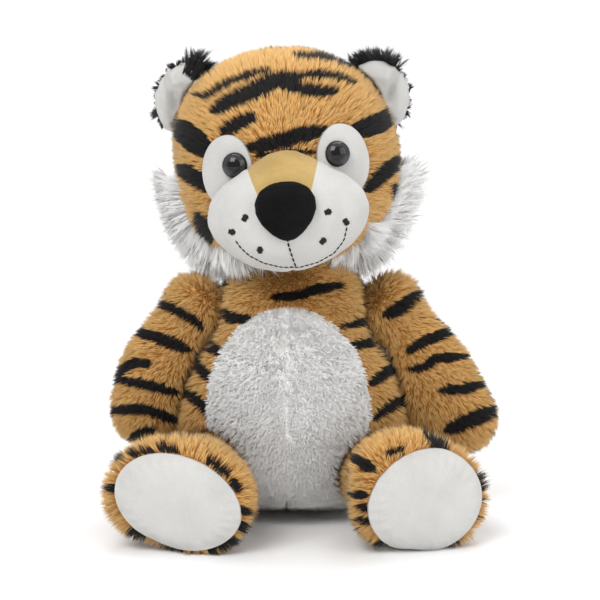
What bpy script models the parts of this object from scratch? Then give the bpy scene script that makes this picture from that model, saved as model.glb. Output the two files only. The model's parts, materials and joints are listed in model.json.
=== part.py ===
"""A stuffed tiger that sits by itself, 300 mm tall, in metres with +Z up. It faces -Y, and left and right are its own.

Each stuffed part is a cover of pile fabric round a filling of fibre. The covers are cut into the panels they are
sewn from. A limb ends in a ball that seats in a dimple of the body, so it can turn at its seam.
"""

import math

import bmesh
import bpy
import numpy as np
from mathutils import Matrix, Vector

MM = 0.001
X_AXIS = Vector((1, 0, 0))
Y_AXIS = Vector((0, 1, 0))
Z_AXIS = Vector((0, 0, 1))
LEFT = 1
RIGHT = -1
SIDE_NAMES = {LEFT: "left", RIGHT: "right"}

# Fabric, seams and the flats that the toy sits on
COVER_WALL = 3.0 * MM
SMOOTH_WALL = 1.8 * MM
SEAM_GAP = 0.3 * MM
BALL_GAP = 0.45 * MM
FILLING_GAP = 0.8 * MM
LIMB_CLEARANCE = 2.5 * MM
NECK_GAP = 1.2 * MM
FLOOR_CUT = 0.5 * MM
OVERRUN = 40.0 * MM
STUFFING_HOLE_RADIUS = 6.0 * MM

# Torso: a bell whose top is a round dome about the neck's centre
TORSO_HALF_WIDTH = 69.5 * MM
TORSO_HALF_DEPTH = 59.0 * MM
TORSO_HIP_HEIGHT = 40.0 * MM
TORSO_WAIST_HEIGHT = 78.0 * MM
TORSO_BASE_LENGTH = 36.0 * MM
BASE_FULLNESS = 3.5
BELLY_PUSH = 8.0 * MM
NECK_HEIGHT = 120.0 * MM
NECK_DOME_RADIUS = 55.0 * MM
NECK_HOLE_RADIUS = 21.0 * MM
NECK_PLUG_DEPTH = 9.0 * MM
NECK_BOSS_HEIGHT = 12.0 * MM
BELLY_HALF_WIDTH = 51.0 * MM
BELLY_HALF_HEIGHT = 67.0 * MM
BELLY_HEIGHT = 73.0 * MM
BELLY_TURN = math.radians(4)
SEAT_RADIUS = 34.0 * MM
PELLET_BAG_RADIUS = 38.0 * MM
PELLET_BAG_HALF_HEIGHT = 17.0 * MM
PELLET_BAG_HEIGHT = 17.0 * MM

# Head, in its own frame: origin at the middle of the head, which leans and tilts on the neck
HEAD_HALF_WIDTH = 73.0 * MM
HEAD_HALF_DEPTH = 65.0 * MM
HEAD_HALF_HEIGHT = 71.0 * MM
HEAD_RISE = 109.0 * MM
HEAD_LEAN = 6.0 * MM
HEAD_FORWARD = 4.0 * MM
HEAD_TILT = math.radians(5.5)
HEAD_SEAM_BACK = 6.0 * MM
HEAD_FULLNESS = 2.2

# Face
MUZZLE_HALF_WIDTH = 47.5 * MM
MUZZLE_HALF_HEIGHT = 34.0 * MM
MUZZLE_LENGTH = 47.0 * MM
MUZZLE_DROP = 30.0 * MM
MUZZLE_SET_BACK = 4.0 * MM
BRIDGE_TOP_WIDTH = 43.0 * MM
BRIDGE_LOW_WIDTH = 30.0 * MM
BRIDGE_LENGTH = 20.0 * MM
NOSE_HALF_WIDTH = 17.5 * MM
NOSE_HALF_HEIGHT = 16.5 * MM
NOSE_HALF_DEPTH = 9.5 * MM
NOSE_DROP = 25.0 * MM
EYE_SPACING = 62.0 * MM
EYE_RISE = 4.0 * MM
EYE_SHIFT = 1.5 * MM
EYE_RADIUS = 7.5 * MM
EYE_BULGE = 5.0 * MM
EYE_SHANK_RADIUS = 2.2 * MM
EYE_SHANK_LENGTH = 12.0 * MM
WASHER_RADIUS = 6.0 * MM
WASHER_DEPTH = 6.6 * MM
WASHER_THICKNESS = 1.6 * MM
PATCH_SPACING = 72.0 * MM
PATCH_HALF_WIDTH = 15.0 * MM
PATCH_HALF_HEIGHT = 23.0 * MM
PATCH_RISE = 0.5 * MM
PATCH_TILT = math.radians(8)

# Ears and the ruff of long fur under the cheeks
EAR_HALF_WIDTH = 24.0 * MM
EAR_HALF_HEIGHT = 20.0 * MM
EAR_HALF_THICKNESS = 7.0 * MM
EAR_FRONT_THICKNESS = 2.4 * MM
EAR_DISH_DEPTH = 4.0 * MM
EAR_FOLD = math.radians(10)
EAR_DISH_RADIUS = 45.0 * MM
EAR_ANGLE = {LEFT: math.radians(29), RIGHT: math.radians(37)}
EAR_FACE_OUT = math.radians(22)
RUFF_START = math.radians(-4)
RUFF_END = math.radians(68)
RUFF_RADIUS = 75.0 * MM
RUFF_HALF_REACH = 11.0 * MM
RUFF_HALF_THICKNESS = 8.0 * MM
RUFF_END_LENGTH = 9.0 * MM

# Arms: the ball is at the shoulder, and the arm swells to a paw
SHOULDER_OUT = 60.0 * MM
SHOULDER_RISE = 9.0 * MM
SHOULDER_FORWARD = 4.0 * MM
SHOULDER_BALL_RADIUS = 22.5 * MM
ARM_LENGTH = 93.5 * MM
ARM_BEND_OUT = 37.0 * MM
ARM_FORWARD = 12.0 * MM
ARM_HALF_WIDTH = 26.5 * MM
ARM_HALF_DEPTH = 21.5 * MM
PAW_HALF_WIDTH = 27.0 * MM
ARM_SPREAD = {LEFT: math.radians(8), RIGHT: 0.0}
LEFT_ARM_MORE = 9.0 * MM
ARM_BOW = {LEFT: 0.78, RIGHT: 1.0}

# Legs: the ball is at the hip, and the leg swells to a foot with a flat sole
HIP_OUT = 51.0 * MM
HIP_HEIGHT = 34.0 * MM
HIP_FORWARD = 41.0 * MM
HIP_BALL_RADIUS = 25.0 * MM
LEG_LENGTH = 79.0 * MM
LEG_HALF_WIDTH = 26.5 * MM
FOOT_HALF_LENGTH = 47.0 * MM
FOOT_HALF_WIDTH = 34.5 * MM
FOOT_DEPTH = 34.0 * MM
FOOT_ROUNDING = 15.0 * MM
SOLE_HALF_LENGTH = 37.5 * MM
SOLE_HALF_WIDTH = 29.5 * MM
LEG_SPLAY = {LEFT: math.radians(21), RIGHT: math.radians(14)}
LEG_RAISE = math.radians(15)
TOE_OUT = {LEFT: math.radians(60), RIGHT: math.radians(75)}

# Tail, behind the seat
TAIL_LENGTH = 105.0 * MM
TAIL_RADIUS = 12.0 * MM
TAIL_TIP_RADIUS = 10.5 * MM
TAIL_SEAT_DEPTH = 3.0 * MM
TAIL_TIP_RISE = 7.0 * MM
TAIL_BALL_RADIUS = 12.0 * MM

# How finely the shapes are faceted
BODY_FACETS = (24, 14)
INNER_FACETS = (16, 9)
LIMB_FACETS = (18, 12)
LIMB_INNER_FACETS = (12, 8)
SMALL_FACETS = (14, 8)
ROUND_SEGMENTS = 20
BALL_SEGMENTS = 20
FINE_SEGMENTS = 30
SMALL_ROUND_SEGMENTS = 12

NECK = Vector((0, 0, NECK_HEIGHT))
HEAD_MIDDLE = NECK + Vector((-HEAD_LEAN, -HEAD_FORWARD, HEAD_RISE))
HEAD_FRAME = Matrix.Translation(HEAD_MIDDLE) @ Matrix.Rotation(-HEAD_TILT, 4, Y_AXIS)


def make_collection(name, hidden):
    """Returns a new collection of the scene, left out of renders if it is hidden."""
    collection = bpy.data.collections.new(name)
    bpy.context.scene.collection.children.link(collection)
    collection.hide_render = hidden
    return collection


def clear_scene():
    """Removes every object that the scene starts with."""
    for obj in list(bpy.data.objects):
        bpy.data.objects.remove(obj)


def add_object(name, bm, collection):
    """Makes an object of a bmesh, whose points are world places."""
    mesh = bpy.data.meshes.new(name)
    bm.to_mesh(mesh)
    bm.free()
    obj = bpy.data.objects.new(name, mesh)
    collection.objects.link(obj)
    return obj


def tool(bm):
    """A shape that cuts or is cut, kept out of the render."""
    obj = add_object("cutter", bm, CUTTERS)
    obj.hide_render = True
    obj.display_type = "WIRE"
    return obj


def boolean(target, operation, *others):
    """Cuts, joins or meets target with each of the others, which are then removed. Returns target."""
    for other in others:
        modifier = target.modifiers.new("boolean", "BOOLEAN")
        modifier.operation = operation
        modifier.solver = "EXACT"
        modifier.object = other
    graph = bpy.context.evaluated_depsgraph_get()
    mesh = bpy.data.meshes.new_from_object(target.evaluated_get(graph), depsgraph=graph)
    target.modifiers.clear()
    worn_out = target.data
    target.data = mesh
    bpy.data.meshes.remove(worn_out)
    for other in others:
        bpy.data.objects.remove(other)
    return target


def cut(target, *others):
    """Takes the others away from target."""
    return boolean(target, "DIFFERENCE", *others)


def meet(target, *others):
    """Keeps what target has in common with the others."""
    return boolean(target, "INTERSECT", *others)


def copy_tool(source):
    """A second cutter of the same shape."""
    twin = source.copy()
    twin.data = source.data.copy()
    CUTTERS.objects.link(twin)
    return twin


def turned(obj, pivot, axis, angle):
    """Turns a cutter's points about an axis through pivot, and returns it."""
    turn = Matrix.Translation(pivot) @ Matrix.Rotation(angle, 4, axis) @ Matrix.Translation(-pivot)
    obj.data.transform(turn)
    return obj


def ball(centre, radius, segments=BALL_SEGMENTS, axis=Z_AXIS):
    """A sphere whose facets run round an axis, so that it turns freely about it in a dimple of the same facets."""
    bm = bmesh.new()
    rings = segments // 2
    bmesh.ops.create_uvsphere(bm, u_segments=segments, v_segments=rings, radius=radius)
    facing = axis.to_track_quat("Z", "Y").to_matrix().to_4x4()
    bmesh.ops.transform(bm, matrix=Matrix.Translation(centre) @ facing, verts=bm.verts)
    return tool(bm)


def rod(start, end, radius, segments=ROUND_SEGMENTS, half_widths=(1, 1), turn=0.0):
    """A round or oval bar from start to end. half_widths scale the radius across and up, and turn turns the oval."""
    along = end - start
    bm = bmesh.new()
    bmesh.ops.create_cone(
        bm, cap_ends=True, segments=segments, radius1=radius, radius2=radius, depth=along.length
    )
    bmesh.ops.scale(bm, vec=(*half_widths, 1), verts=bm.verts)
    facing = along.to_track_quat("Z", "Y").to_matrix().to_4x4()
    place = Matrix.Translation((start + end) / 2) @ facing @ Matrix.Rotation(turn, 4, Z_AXIS)
    bmesh.ops.transform(bm, matrix=place, verts=bm.verts)
    return tool(bm)


def block(low, high, frame=None):
    """A box between two corners, in a frame if one is given."""
    bm = bmesh.new()
    bmesh.ops.create_cube(bm, size=1)
    size = high - low
    bmesh.ops.scale(bm, vec=size, verts=bm.verts)
    bmesh.ops.translate(bm, vec=(low + high) / 2, verts=bm.verts)
    if frame:
        bmesh.ops.transform(bm, matrix=frame, verts=bm.verts)
    return tool(bm)


def smooth_between(knots, values, place):
    """The value at place on a smooth curve through values at knots."""
    index = min(max(int(np.searchsorted(knots, place)) - 1, 0), len(knots) - 2)
    start, end = knots[index], knots[index + 1]
    if np.all(values[index] == values[index + 1]):
        return values[index]
    step = end - start
    before, after = max(index - 1, 0), min(index + 2, len(knots) - 1)
    start_slope = (values[index + 1] - values[before]) / (end - knots[before]) * step
    end_slope = (values[after] - values[index]) / (knots[after] - start) * step
    t = (place - start) / step
    if t < 0:
        return values[index] + start_slope * t
    if t > 1:
        return values[index + 1] + end_slope * (t - 1)
    return (
        values[index] * (2 * t**3 - 3 * t**2 + 1)
        + start_slope * (t**3 - 2 * t**2 + t)
        + values[index + 1] * (3 * t**2 - 2 * t**3)
        + end_slope * (t**3 - t**2)
    )


class Form:
    """A stuffed shape: an oval section that swells and tapers along a spine and closes in two rounded ends.

    spine, half_widths and half_depths go together. across is the way that the half widths lie. ends are the
    lengths of the two rounded ends, and fullness is 2 for round ones and more for squarer ones.
    """

    def __init__(self, spine, half_widths, half_depths, across, ends, fullness, facets, inner_facets):
        self.spine = [np.array(point, float) for point in spine]
        self.half_widths = half_widths
        self.half_depths = half_depths
        self.across = np.array(across, float)
        self.ends = ends
        self.fullness = fullness
        self.facets = facets
        self.inner_facets = inner_facets
        steps = [np.linalg.norm(b - a) for a, b in zip(self.spine, self.spine[1:])]
        self.knots = np.concatenate([[0.0], np.cumsum(steps)])

    def closing(self, place, length, grow):
        """How far the rounded ends draw the section in at a place along the spine, from 0 to 1."""
        from_start = (place + grow) / (self.ends[0] + grow)
        from_end = (length - place + grow) / (self.ends[1] + grow)
        drawn = 1.0
        for share, power in ((from_start, self.fullness[0]), (from_end, self.fullness[1])):
            if share < 1:
                drawn *= max(1 - (1 - max(share, 0.0)) ** power, 0.0) ** (1 / power)
        return drawn

    def made(self, grow=0.0, inner=False):
        """The shape with its surface moved out by grow, as a cutter. Inner shapes have fewer facets."""
        segments, rings = self.inner_facets if inner else self.facets
        length = self.knots[-1]
        bm = bmesh.new()
        bmesh.ops.create_uvsphere(bm, u_segments=segments, v_segments=rings, radius=1)
        # Half a facet round, so that seams on the middle planes run through facets and not beside their edges
        half_facet = Matrix.Rotation(math.pi / segments, 3, "Z")
        bmesh.ops.rotate(bm, matrix=half_facet, verts=bm.verts)
        reach = length + 2 * grow
        for vert in bm.verts:
            place = (1 + vert.co.z) / 2 * reach - grow
            middle = smooth_between(self.knots, self.spine, place)
            ahead = smooth_between(self.knots, self.spine, place + reach / rings)
            behind = smooth_between(self.knots, self.spine, place - reach / rings)
            along = (ahead - behind) / np.linalg.norm(ahead - behind)
            wide = self.across - along * self.across.dot(along)
            wide /= np.linalg.norm(wide)
            deep = np.cross(along, wide)
            round_part = np.array((vert.co.x, vert.co.y))
            size = np.linalg.norm(round_part)
            if size > 0:
                round_part = round_part / size
            inside = min(max(place, 0.0), length)
            drawn = self.closing(place, length, grow) if size > 1e-6 else 0.0
            half_width = (smooth_between(self.knots, self.half_widths, inside) + grow) * drawn
            half_depth = (smooth_between(self.knots, self.half_depths, inside) + grow) * drawn
            vert.co = middle + wide * round_part[0] * half_width + deep * round_part[1] * half_depth
        if bm.calc_volume(signed=True) < 0:
            bmesh.ops.reverse_faces(bm, faces=bm.faces)
        return tool(bm)


def torso_form():
    """The bell of the body, from just under the floor to the top of the neck's dome."""
    forward = Vector((0, -BELLY_PUSH, 0))
    top = NECK_HEIGHT + NECK_DOME_RADIUS
    heights = (-FLOOR_CUT, TORSO_HIP_HEIGHT, TORSO_WAIST_HEIGHT, NECK_HEIGHT, top)
    spine = [Z_AXIS * height for height in heights]
    spine[1] += forward * 0.6
    spine[2] += forward
    base_shares = (0.93, 0.98, 1.0)
    half_widths = [TORSO_HALF_WIDTH * share for share in base_shares] + [NECK_DOME_RADIUS] * 2
    half_depths = [TORSO_HALF_DEPTH * share for share in base_shares] + [NECK_DOME_RADIUS] * 2
    ends = (TORSO_BASE_LENGTH, NECK_DOME_RADIUS)
    return Form(spine, half_widths, half_depths, X_AXIS, ends, (BASE_FULLNESS, 2), BODY_FACETS, INNER_FACETS)


def head_form():
    """The head, upright in its own frame, set in the world by the head frame."""
    spine = [HEAD_FRAME @ (Z_AXIS * HEAD_HALF_HEIGHT * way) for way in (-1, 0, 1)]
    across = HEAD_FRAME.to_3x3() @ X_AXIS
    ends = (HEAD_HALF_HEIGHT, HEAD_HALF_HEIGHT)
    fullness = (HEAD_FULLNESS, HEAD_FULLNESS)
    half_widths = [HEAD_HALF_WIDTH] * 3
    half_depths = [HEAD_HALF_DEPTH] * 3
    return Form(spine, half_widths, half_depths, across, ends, fullness, BODY_FACETS, INNER_FACETS)


def head_front(across, up):
    """The place and outward direction on the front of the head at a distance across and up, in the head's frame."""
    scale = (1 - abs(up / HEAD_HALF_HEIGHT) ** HEAD_FULLNESS) ** (1 / HEAD_FULLNESS)
    depth = HEAD_HALF_DEPTH * math.sqrt(scale**2 - (across / HEAD_HALF_WIDTH) ** 2)
    outward = Vector((across / HEAD_HALF_WIDTH**2, -depth / HEAD_HALF_DEPTH**2, up / HEAD_HALF_HEIGHT**2))
    return Vector((across, -depth, up)), outward.normalized()


def muzzle_form():
    """The dome of the muzzle, whose back half lies in the head."""
    middle, _ = head_front(0, -MUZZLE_DROP)
    middle.y += MUZZLE_SET_BACK
    ahead = Vector((0, -MUZZLE_LENGTH, 0))
    spine = [HEAD_FRAME @ (middle + ahead * way) for way in (-1, 0, 1)]
    across = HEAD_FRAME.to_3x3() @ X_AXIS
    half_widths = [MUZZLE_HALF_WIDTH] * 3
    half_depths = [MUZZLE_HALF_HEIGHT] * 3
    ends = (MUZZLE_LENGTH, MUZZLE_LENGTH)
    return Form(spine, half_widths, half_depths, across, ends, (2.3, 2.3), LIMB_FACETS, LIMB_INNER_FACETS)


def shoulder(side):
    """The middle of an arm's ball."""
    return Vector((side * SHOULDER_OUT, -SHOULDER_FORWARD, NECK_HEIGHT + SHOULDER_RISE))


def arm_form(side):
    """An arm that hangs from its ball and swells to the paw."""
    down = ARM_LENGTH - SHOULDER_BALL_RADIUS * 0.3
    if side == LEFT:
        down += LEFT_ARM_MORE
    start = Vector((-0.3 * side, 0, 0.65)) * SHOULDER_BALL_RADIUS
    # Shares of the arm's bend out, its reach forward and its length at each station
    bow = ARM_BOW[side]
    path_shares = ((0.0, 0.0, 0.0), (0.5 * bow, 0.33, 0.27), (0.9 * bow, 0.75, 0.6), (1.0, 1.0, 0.97))
    spine = [start]
    for out, ahead, fall in path_shares:
        spine.append(Vector((side * out * ARM_BEND_OUT, -ahead * ARM_FORWARD, -fall * down)))
    spread = Matrix.Rotation(-side * ARM_SPREAD[side], 3, Y_AXIS)
    spine = [shoulder(side) + spread @ point for point in spine]
    root_radius = SHOULDER_BALL_RADIUS * 0.85
    half_widths = [root_radius] * 2 + [ARM_HALF_WIDTH] + [PAW_HALF_WIDTH] * 2
    half_depths = [root_radius] * 2 + [ARM_HALF_DEPTH] * 3
    ends = (SHOULDER_BALL_RADIUS, PAW_HALF_WIDTH)
    across = X_AXIS * side
    return Form(spine, half_widths, half_depths, across, ends, (2, 2.2), LIMB_FACETS, LIMB_INNER_FACETS)


def hip(side):
    """The middle of a leg's ball."""
    return Vector((side * HIP_OUT, -HIP_FORWARD, HIP_HEIGHT))


def leg_way(side):
    """The way that a leg points, forward and out."""
    return Vector((side * math.sin(LEG_SPLAY[side]), -math.cos(LEG_SPLAY[side]), 0))


def hip_axis(side):
    """The level line that a leg swings about."""
    return leg_way(side).cross(Z_AXIS).normalized()


def foot_long_way(side):
    """The way from heel to toe, which lies over to the outside."""
    toe_out = Matrix.Rotation(-side * TOE_OUT[side], 3, Y_AXIS)
    return (toe_out @ Vector((0, 0, -1))) * -1


def foot_half_height(side):
    """Half of the height of a foot that lies over."""
    turn = TOE_OUT[side]
    return math.hypot(FOOT_HALF_LENGTH * math.cos(turn), FOOT_HALF_WIDTH * math.sin(turn))


def leg_spine(side):
    """The points along a leg from behind its ball to its sole."""
    way = leg_way(side)
    hip_middle = hip(side)
    foot_rise = Z_AXIS * (foot_half_height(side) - FLOOR_CUT - HIP_HEIGHT)
    foot_back = LEG_LENGTH - FOOT_DEPTH
    return [
        hip_middle - way * HIP_BALL_RADIUS * 0.7,
        hip_middle,
        hip_middle + way * foot_back * 0.55 + foot_rise * 0.2,
        hip_middle + way * (foot_back + FOOT_DEPTH * 0.5) + foot_rise,
        hip_middle + way * LEG_LENGTH + foot_rise,
    ]


def leg_form(side):
    """A leg that lies forward from its ball and swells to the foot."""
    root_radius = HIP_BALL_RADIUS * 0.85
    half_widths = [root_radius] * 2 + [LEG_HALF_WIDTH] + [FOOT_HALF_LENGTH] * 2
    half_depths = [root_radius] * 2 + [LEG_HALF_WIDTH] + [FOOT_HALF_WIDTH] * 2
    ends = (HIP_BALL_RADIUS, FOOT_ROUNDING)
    across = foot_long_way(side)
    spine = leg_spine(side)
    return Form(spine, half_widths, half_depths, across, ends, (2, 2.3), LIMB_FACETS, LIMB_INNER_FACETS)


def tail_root():
    """Where the tail leaves the back of the torso, at the height of the tail's middle."""
    height = TAIL_RADIUS - FLOOR_CUT
    return Vector((0, torso_back(height) - TAIL_SEAT_DEPTH, height))


def torso_back(height):
    """How far back the torso reaches at a height below the hips."""
    share = (height + FLOOR_CUT) / TORSO_BASE_LENGTH
    drawn = (1 - (1 - min(share, 1.0)) ** BASE_FULLNESS) ** (1 / BASE_FULLNESS)
    return TORSO_HALF_DEPTH * 0.95 * drawn - BELLY_PUSH * 0.2


def tail_form():
    """A tail that lies on the floor behind the toy and lifts at its tip."""
    root = tail_root()
    back = Vector((0, TAIL_LENGTH, 0))
    lift = Z_AXIS * TAIL_TIP_RISE
    spine = [root - back * 0.05, root + back * 0.3, root + back * 0.65, root + back + lift]
    radii = [TAIL_BALL_RADIUS * 0.8, TAIL_RADIUS, TAIL_RADIUS, TAIL_TIP_RADIUS]
    ends = (TAIL_RADIUS * 0.6, TAIL_TIP_RADIUS)
    return Form(spine, radii, radii, X_AXIS, ends, (2, 2), SMALL_FACETS, SMALL_FACETS)


def limb_balls(grow, inner):
    """The balls that the limbs and the tail turn on, grown by a margin."""
    segments = SMALL_ROUND_SEGMENTS if inner else BALL_SEGMENTS
    balls = [ball(tail_root(), TAIL_BALL_RADIUS + grow, segments)]
    for side in (LEFT, RIGHT):
        balls.append(ball(shoulder(side), SHOULDER_BALL_RADIUS + grow, segments, Y_AXIS))
        balls.append(ball(hip(side), HIP_BALL_RADIUS + grow, segments, hip_axis(side)))
    return balls


def torso_body(grow, inner=False):
    """The torso moved out by grow, with its dimples kept the same distance off the balls."""
    return cut(torso_form().made(grow, inner), *limb_balls(BALL_GAP - grow, inner))


def floor_block():
    """All that is under the floor."""
    far = TORSO_HALF_WIDTH + LEG_LENGTH + TAIL_LENGTH + OVERRUN
    return block(Vector((-far, -far, -OVERRUN)), Vector((far, far, 0)))


def floor_block_above(height):
    """All that is under a height."""
    far = TORSO_HALF_WIDTH + LEG_LENGTH + TAIL_LENGTH + OVERRUN
    return block(Vector((-far, -far, -OVERRUN)), Vector((far, far, height)))


def half_space(frame, side, gap=SEAM_GAP / 2):
    """All that is on one side of a frame's middle plane, half a seam away from it."""
    far = TORSO_HALF_WIDTH + LEG_LENGTH + HEAD_RISE + OVERRUN
    low = gap if side == LEFT else -far
    high = far if side == LEFT else -gap
    return block(Vector((low, -far, -far)), Vector((high, far, far)), frame)


def belly_oval(grow):
    """The oval of the white belly, as a bar that runs forward from the middle of the torso."""
    facing = Matrix.Rotation(-BELLY_TURN, 3, Z_AXIS) @ -Y_AXIS
    start = Z_AXIS * BELLY_HEIGHT + facing * TORSO_HALF_DEPTH * 0.55
    end = start + facing * (TORSO_HALF_DEPTH + OVERRUN)
    half_widths = (BELLY_HALF_WIDTH + grow, BELLY_HALF_HEIGHT + grow)
    return rod(start, end, 1, ROUND_SEGMENTS, half_widths)


def seat_bar(grow):
    """A bar up from the floor that marks out the round base panel."""
    return rod(-Z_AXIS * OVERRUN, Z_AXIS * TORSO_BASE_LENGTH, SEAT_RADIUS + grow)


def neck_bar(radius):
    """A bar up from the neck's centre through the top of the torso."""
    return rod(NECK, NECK + Z_AXIS * (NECK_DOME_RADIUS + OVERRUN), radius)


def torso_shell():
    """The torso's cover before it is cut into panels: an even wall that follows the dimples, open at the neck."""
    shell = torso_body(0.0)
    hollow = cut(torso_body(-COVER_WALL, inner=True), floor_block_above(COVER_WALL))
    return cut(shell, hollow, floor_block(), neck_bar(NECK_HOLE_RADIUS))


def finish(obj, name, material, parent):
    """Turns a cut shape into a named part, with its material and its parent empty."""
    CUTTERS.objects.unlink(obj)
    PARTS.objects.link(obj)
    obj.name = name
    obj.data.name = name
    obj.hide_render = False
    obj.display_type = "TEXTURED"
    obj.data.materials.clear()
    obj.data.materials.append(material)
    move_origin(obj, parent.location)
    obj.parent = parent
    obj.matrix_parent_inverse = Matrix.Translation(-parent.location)
    obj.data.shade_smooth()
    obj.data.set_sharp_from_angle(angle=math.radians(50))
    return obj


def move_origin(obj, place):
    """Puts an object's origin at a place without moving its points."""
    obj.data.transform(Matrix.Translation(-place))
    obj.location = place


def joint_empty(name, place, parent=None):
    """An empty on a joint's axis, which carries the pieces that move with it."""
    empty = bpy.data.objects.new(name, None)
    empty.empty_display_size = 10 * MM
    PARTS.objects.link(empty)
    empty.location = place
    if parent:
        empty.parent = parent
        empty.matrix_parent_inverse = Matrix.Translation(-parent.location)
    return empty


def material(name, colour, roughness, metallic=0.0):
    """A material with one colour."""
    made = bpy.data.materials.new(name)
    made.use_nodes = True
    shader = made.node_tree.nodes["Principled BSDF"]
    shader.inputs["Base Color"].default_value = (*colour, 1.0)
    shader.inputs["Roughness"].default_value = roughness
    shader.inputs["Metallic"].default_value = metallic
    made.diffuse_color = (*colour, 1.0)
    return made


def build_torso(empty):
    """Two belly panels, two side panels that meet at the back, a base panel, the filling and the pellet bag."""
    shell = torso_shell()
    turned_frame = Matrix.Rotation(-BELLY_TURN, 4, Z_AXIS)
    for side, word in SIDE_NAMES.items():
        belly = meet(copy_tool(shell), belly_oval(0.0), half_space(turned_frame, side))
        finish(belly, f"belly_panel_{word}", FABRIC["white_fur"], empty)
        flank = meet(copy_tool(shell), half_space(Matrix.Identity(4), side))
        flank = cut(flank, belly_oval(SEAM_GAP), seat_bar(SEAM_GAP))
        finish(flank, f"torso_panel_{word}", FABRIC["orange_fur"], empty)
    finish(meet(shell, seat_bar(0.0)), "base_panel", FABRIC["orange_fur"], empty)
    build_torso_filling(empty)


def pellet_bag(grow):
    """The flat round bag of pellets that weights the seat."""
    bm = bmesh.new()
    segments, rings = SMALL_FACETS
    bmesh.ops.create_uvsphere(bm, u_segments=segments, v_segments=rings, radius=1)
    radius = PELLET_BAG_RADIUS + grow
    bmesh.ops.scale(bm, vec=(radius, radius, PELLET_BAG_HALF_HEIGHT + grow), verts=bm.verts)
    bmesh.ops.translate(bm, vec=Z_AXIS * PELLET_BAG_HEIGHT, verts=bm.verts)
    return tool(bm)


def build_torso_filling(empty):
    """The fibre in the torso, hollowed for the pellet bag and for the plug in the neck."""
    margin = COVER_WALL + FILLING_GAP
    filling = torso_body(-margin, inner=True)
    plug_room = cut(neck_bar(NECK_HOLE_RADIUS), ball(NECK, NECK_DOME_RADIUS - NECK_PLUG_DEPTH - SEAM_GAP, FINE_SEGMENTS))
    cut(filling, floor_block_above(margin), pellet_bag(SEAM_GAP), plug_room)
    finish(filling, "torso_filling", FABRIC["fibre"], empty)
    bag = meet(pellet_bag(0.0), torso_body(-margin, inner=True))
    cut(bag, floor_block_above(margin))
    finish(bag, "pellet_bag", FABRIC["bag_cloth"], empty)


def build_neck(empty):
    """The plug of firm fibre in the neck, which turns with the head in the torso's round opening."""
    plug = meet(neck_bar(NECK_HOLE_RADIUS - SEAM_GAP), ball(NECK, NECK_DOME_RADIUS, FINE_SEGMENTS))
    cut(plug, ball(NECK, NECK_DOME_RADIUS - NECK_PLUG_DEPTH, FINE_SEGMENTS))
    finish(plug, "neck_filling", FABRIC["fibre"], empty)


def turned_forms(form, grow, inner, pivot, axis, angles):
    """A form as a piece that turns on it meets it at each angle."""
    return [turned(form.made(grow, inner), pivot, axis, -angle) for angle in angles]


def stuffed(form, pivot, axis, angles, ball_radius, margin, inner=False):
    """A stuffed piece a margin under its outside: cut clear of the torso, joined to its ball and flat on the floor."""
    segments = SMALL_ROUND_SEGMENTS if inner else BALL_SEGMENTS
    clear = turned_forms(torso_form(), LIMB_CLEARANCE + margin, inner, pivot, axis, angles)
    body = cut(form.made(-margin, inner), *clear)
    boolean(body, "UNION", ball(pivot, ball_radius - margin, segments, axis))
    return cut(body, floor_block_above(margin))


def stuffed_cover(form, pivot, axis, angles, ball_radius):
    """The cover of a stuffed piece, with the hole in its ball that it was stuffed through."""
    cover = stuffed(form, pivot, axis, angles, ball_radius, 0.0)
    inward = Vector((-pivot.x, -pivot.y, 0)).normalized()
    hole = rod(pivot, pivot + inward * OVERRUN, STUFFING_HOLE_RADIUS, SMALL_ROUND_SEGMENTS)
    return cut(cover, stuffed(form, pivot, axis, angles, ball_radius, COVER_WALL, inner=True), hole)


def build_arm(side, empty):
    """One arm: its cover and its filling."""
    word = SIDE_NAMES[side]
    form = arm_form(side)
    root = (shoulder(side), Y_AXIS, (0.0,), SHOULDER_BALL_RADIUS)
    cover = stuffed_cover(form, *root)
    finish(cover, f"arm_cover_{word}", FABRIC["orange_fur"], empty)
    filling = stuffed(form, *root, COVER_WALL + FILLING_GAP, inner=True)
    finish(filling, f"arm_filling_{word}", FABRIC["fibre"], empty)


def sole_bar(side, grow):
    """An oval bar along the leg that marks out the sole."""
    spine = leg_spine(side)
    start = spine[-1] - leg_way(side) * FOOT_ROUNDING
    end = spine[-1] + leg_way(side) * OVERRUN
    bm = bmesh.new()
    bmesh.ops.create_cone(
        bm, cap_ends=True, segments=ROUND_SEGMENTS, radius1=1, radius2=1, depth=(end - start).length
    )
    bmesh.ops.scale(bm, vec=(SOLE_HALF_LENGTH + grow, SOLE_HALF_WIDTH + grow, 1), verts=bm.verts)
    along = leg_way(side)
    long_way = foot_long_way(side)
    long_way = (long_way - along * long_way.dot(along)).normalized()
    columns = (long_way, along.cross(long_way), along)
    facing = Matrix(columns).transposed().to_4x4()
    bmesh.ops.transform(bm, matrix=Matrix.Translation((start + end) / 2) @ facing, verts=bm.verts)
    return tool(bm)


def build_leg(side, empty):
    """One leg: its cover, its smooth sole and its filling."""
    word = SIDE_NAMES[side]
    form = leg_form(side)
    root = (hip(side), hip_axis(side), (0.0, LEG_RAISE), HIP_BALL_RADIUS)
    cover = stuffed_cover(form, *root)
    sole = meet(copy_tool(cover), sole_bar(side, 0.0))
    finish(sole, f"sole_{word}", FABRIC["white_velour"], empty)
    cut(cover, sole_bar(side, SEAM_GAP))
    finish(cover, f"leg_cover_{word}", FABRIC["orange_fur"], empty)
    filling = stuffed(form, *root, COVER_WALL + FILLING_GAP, inner=True)
    finish(filling, f"leg_filling_{word}", FABRIC["fibre"], empty)


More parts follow.
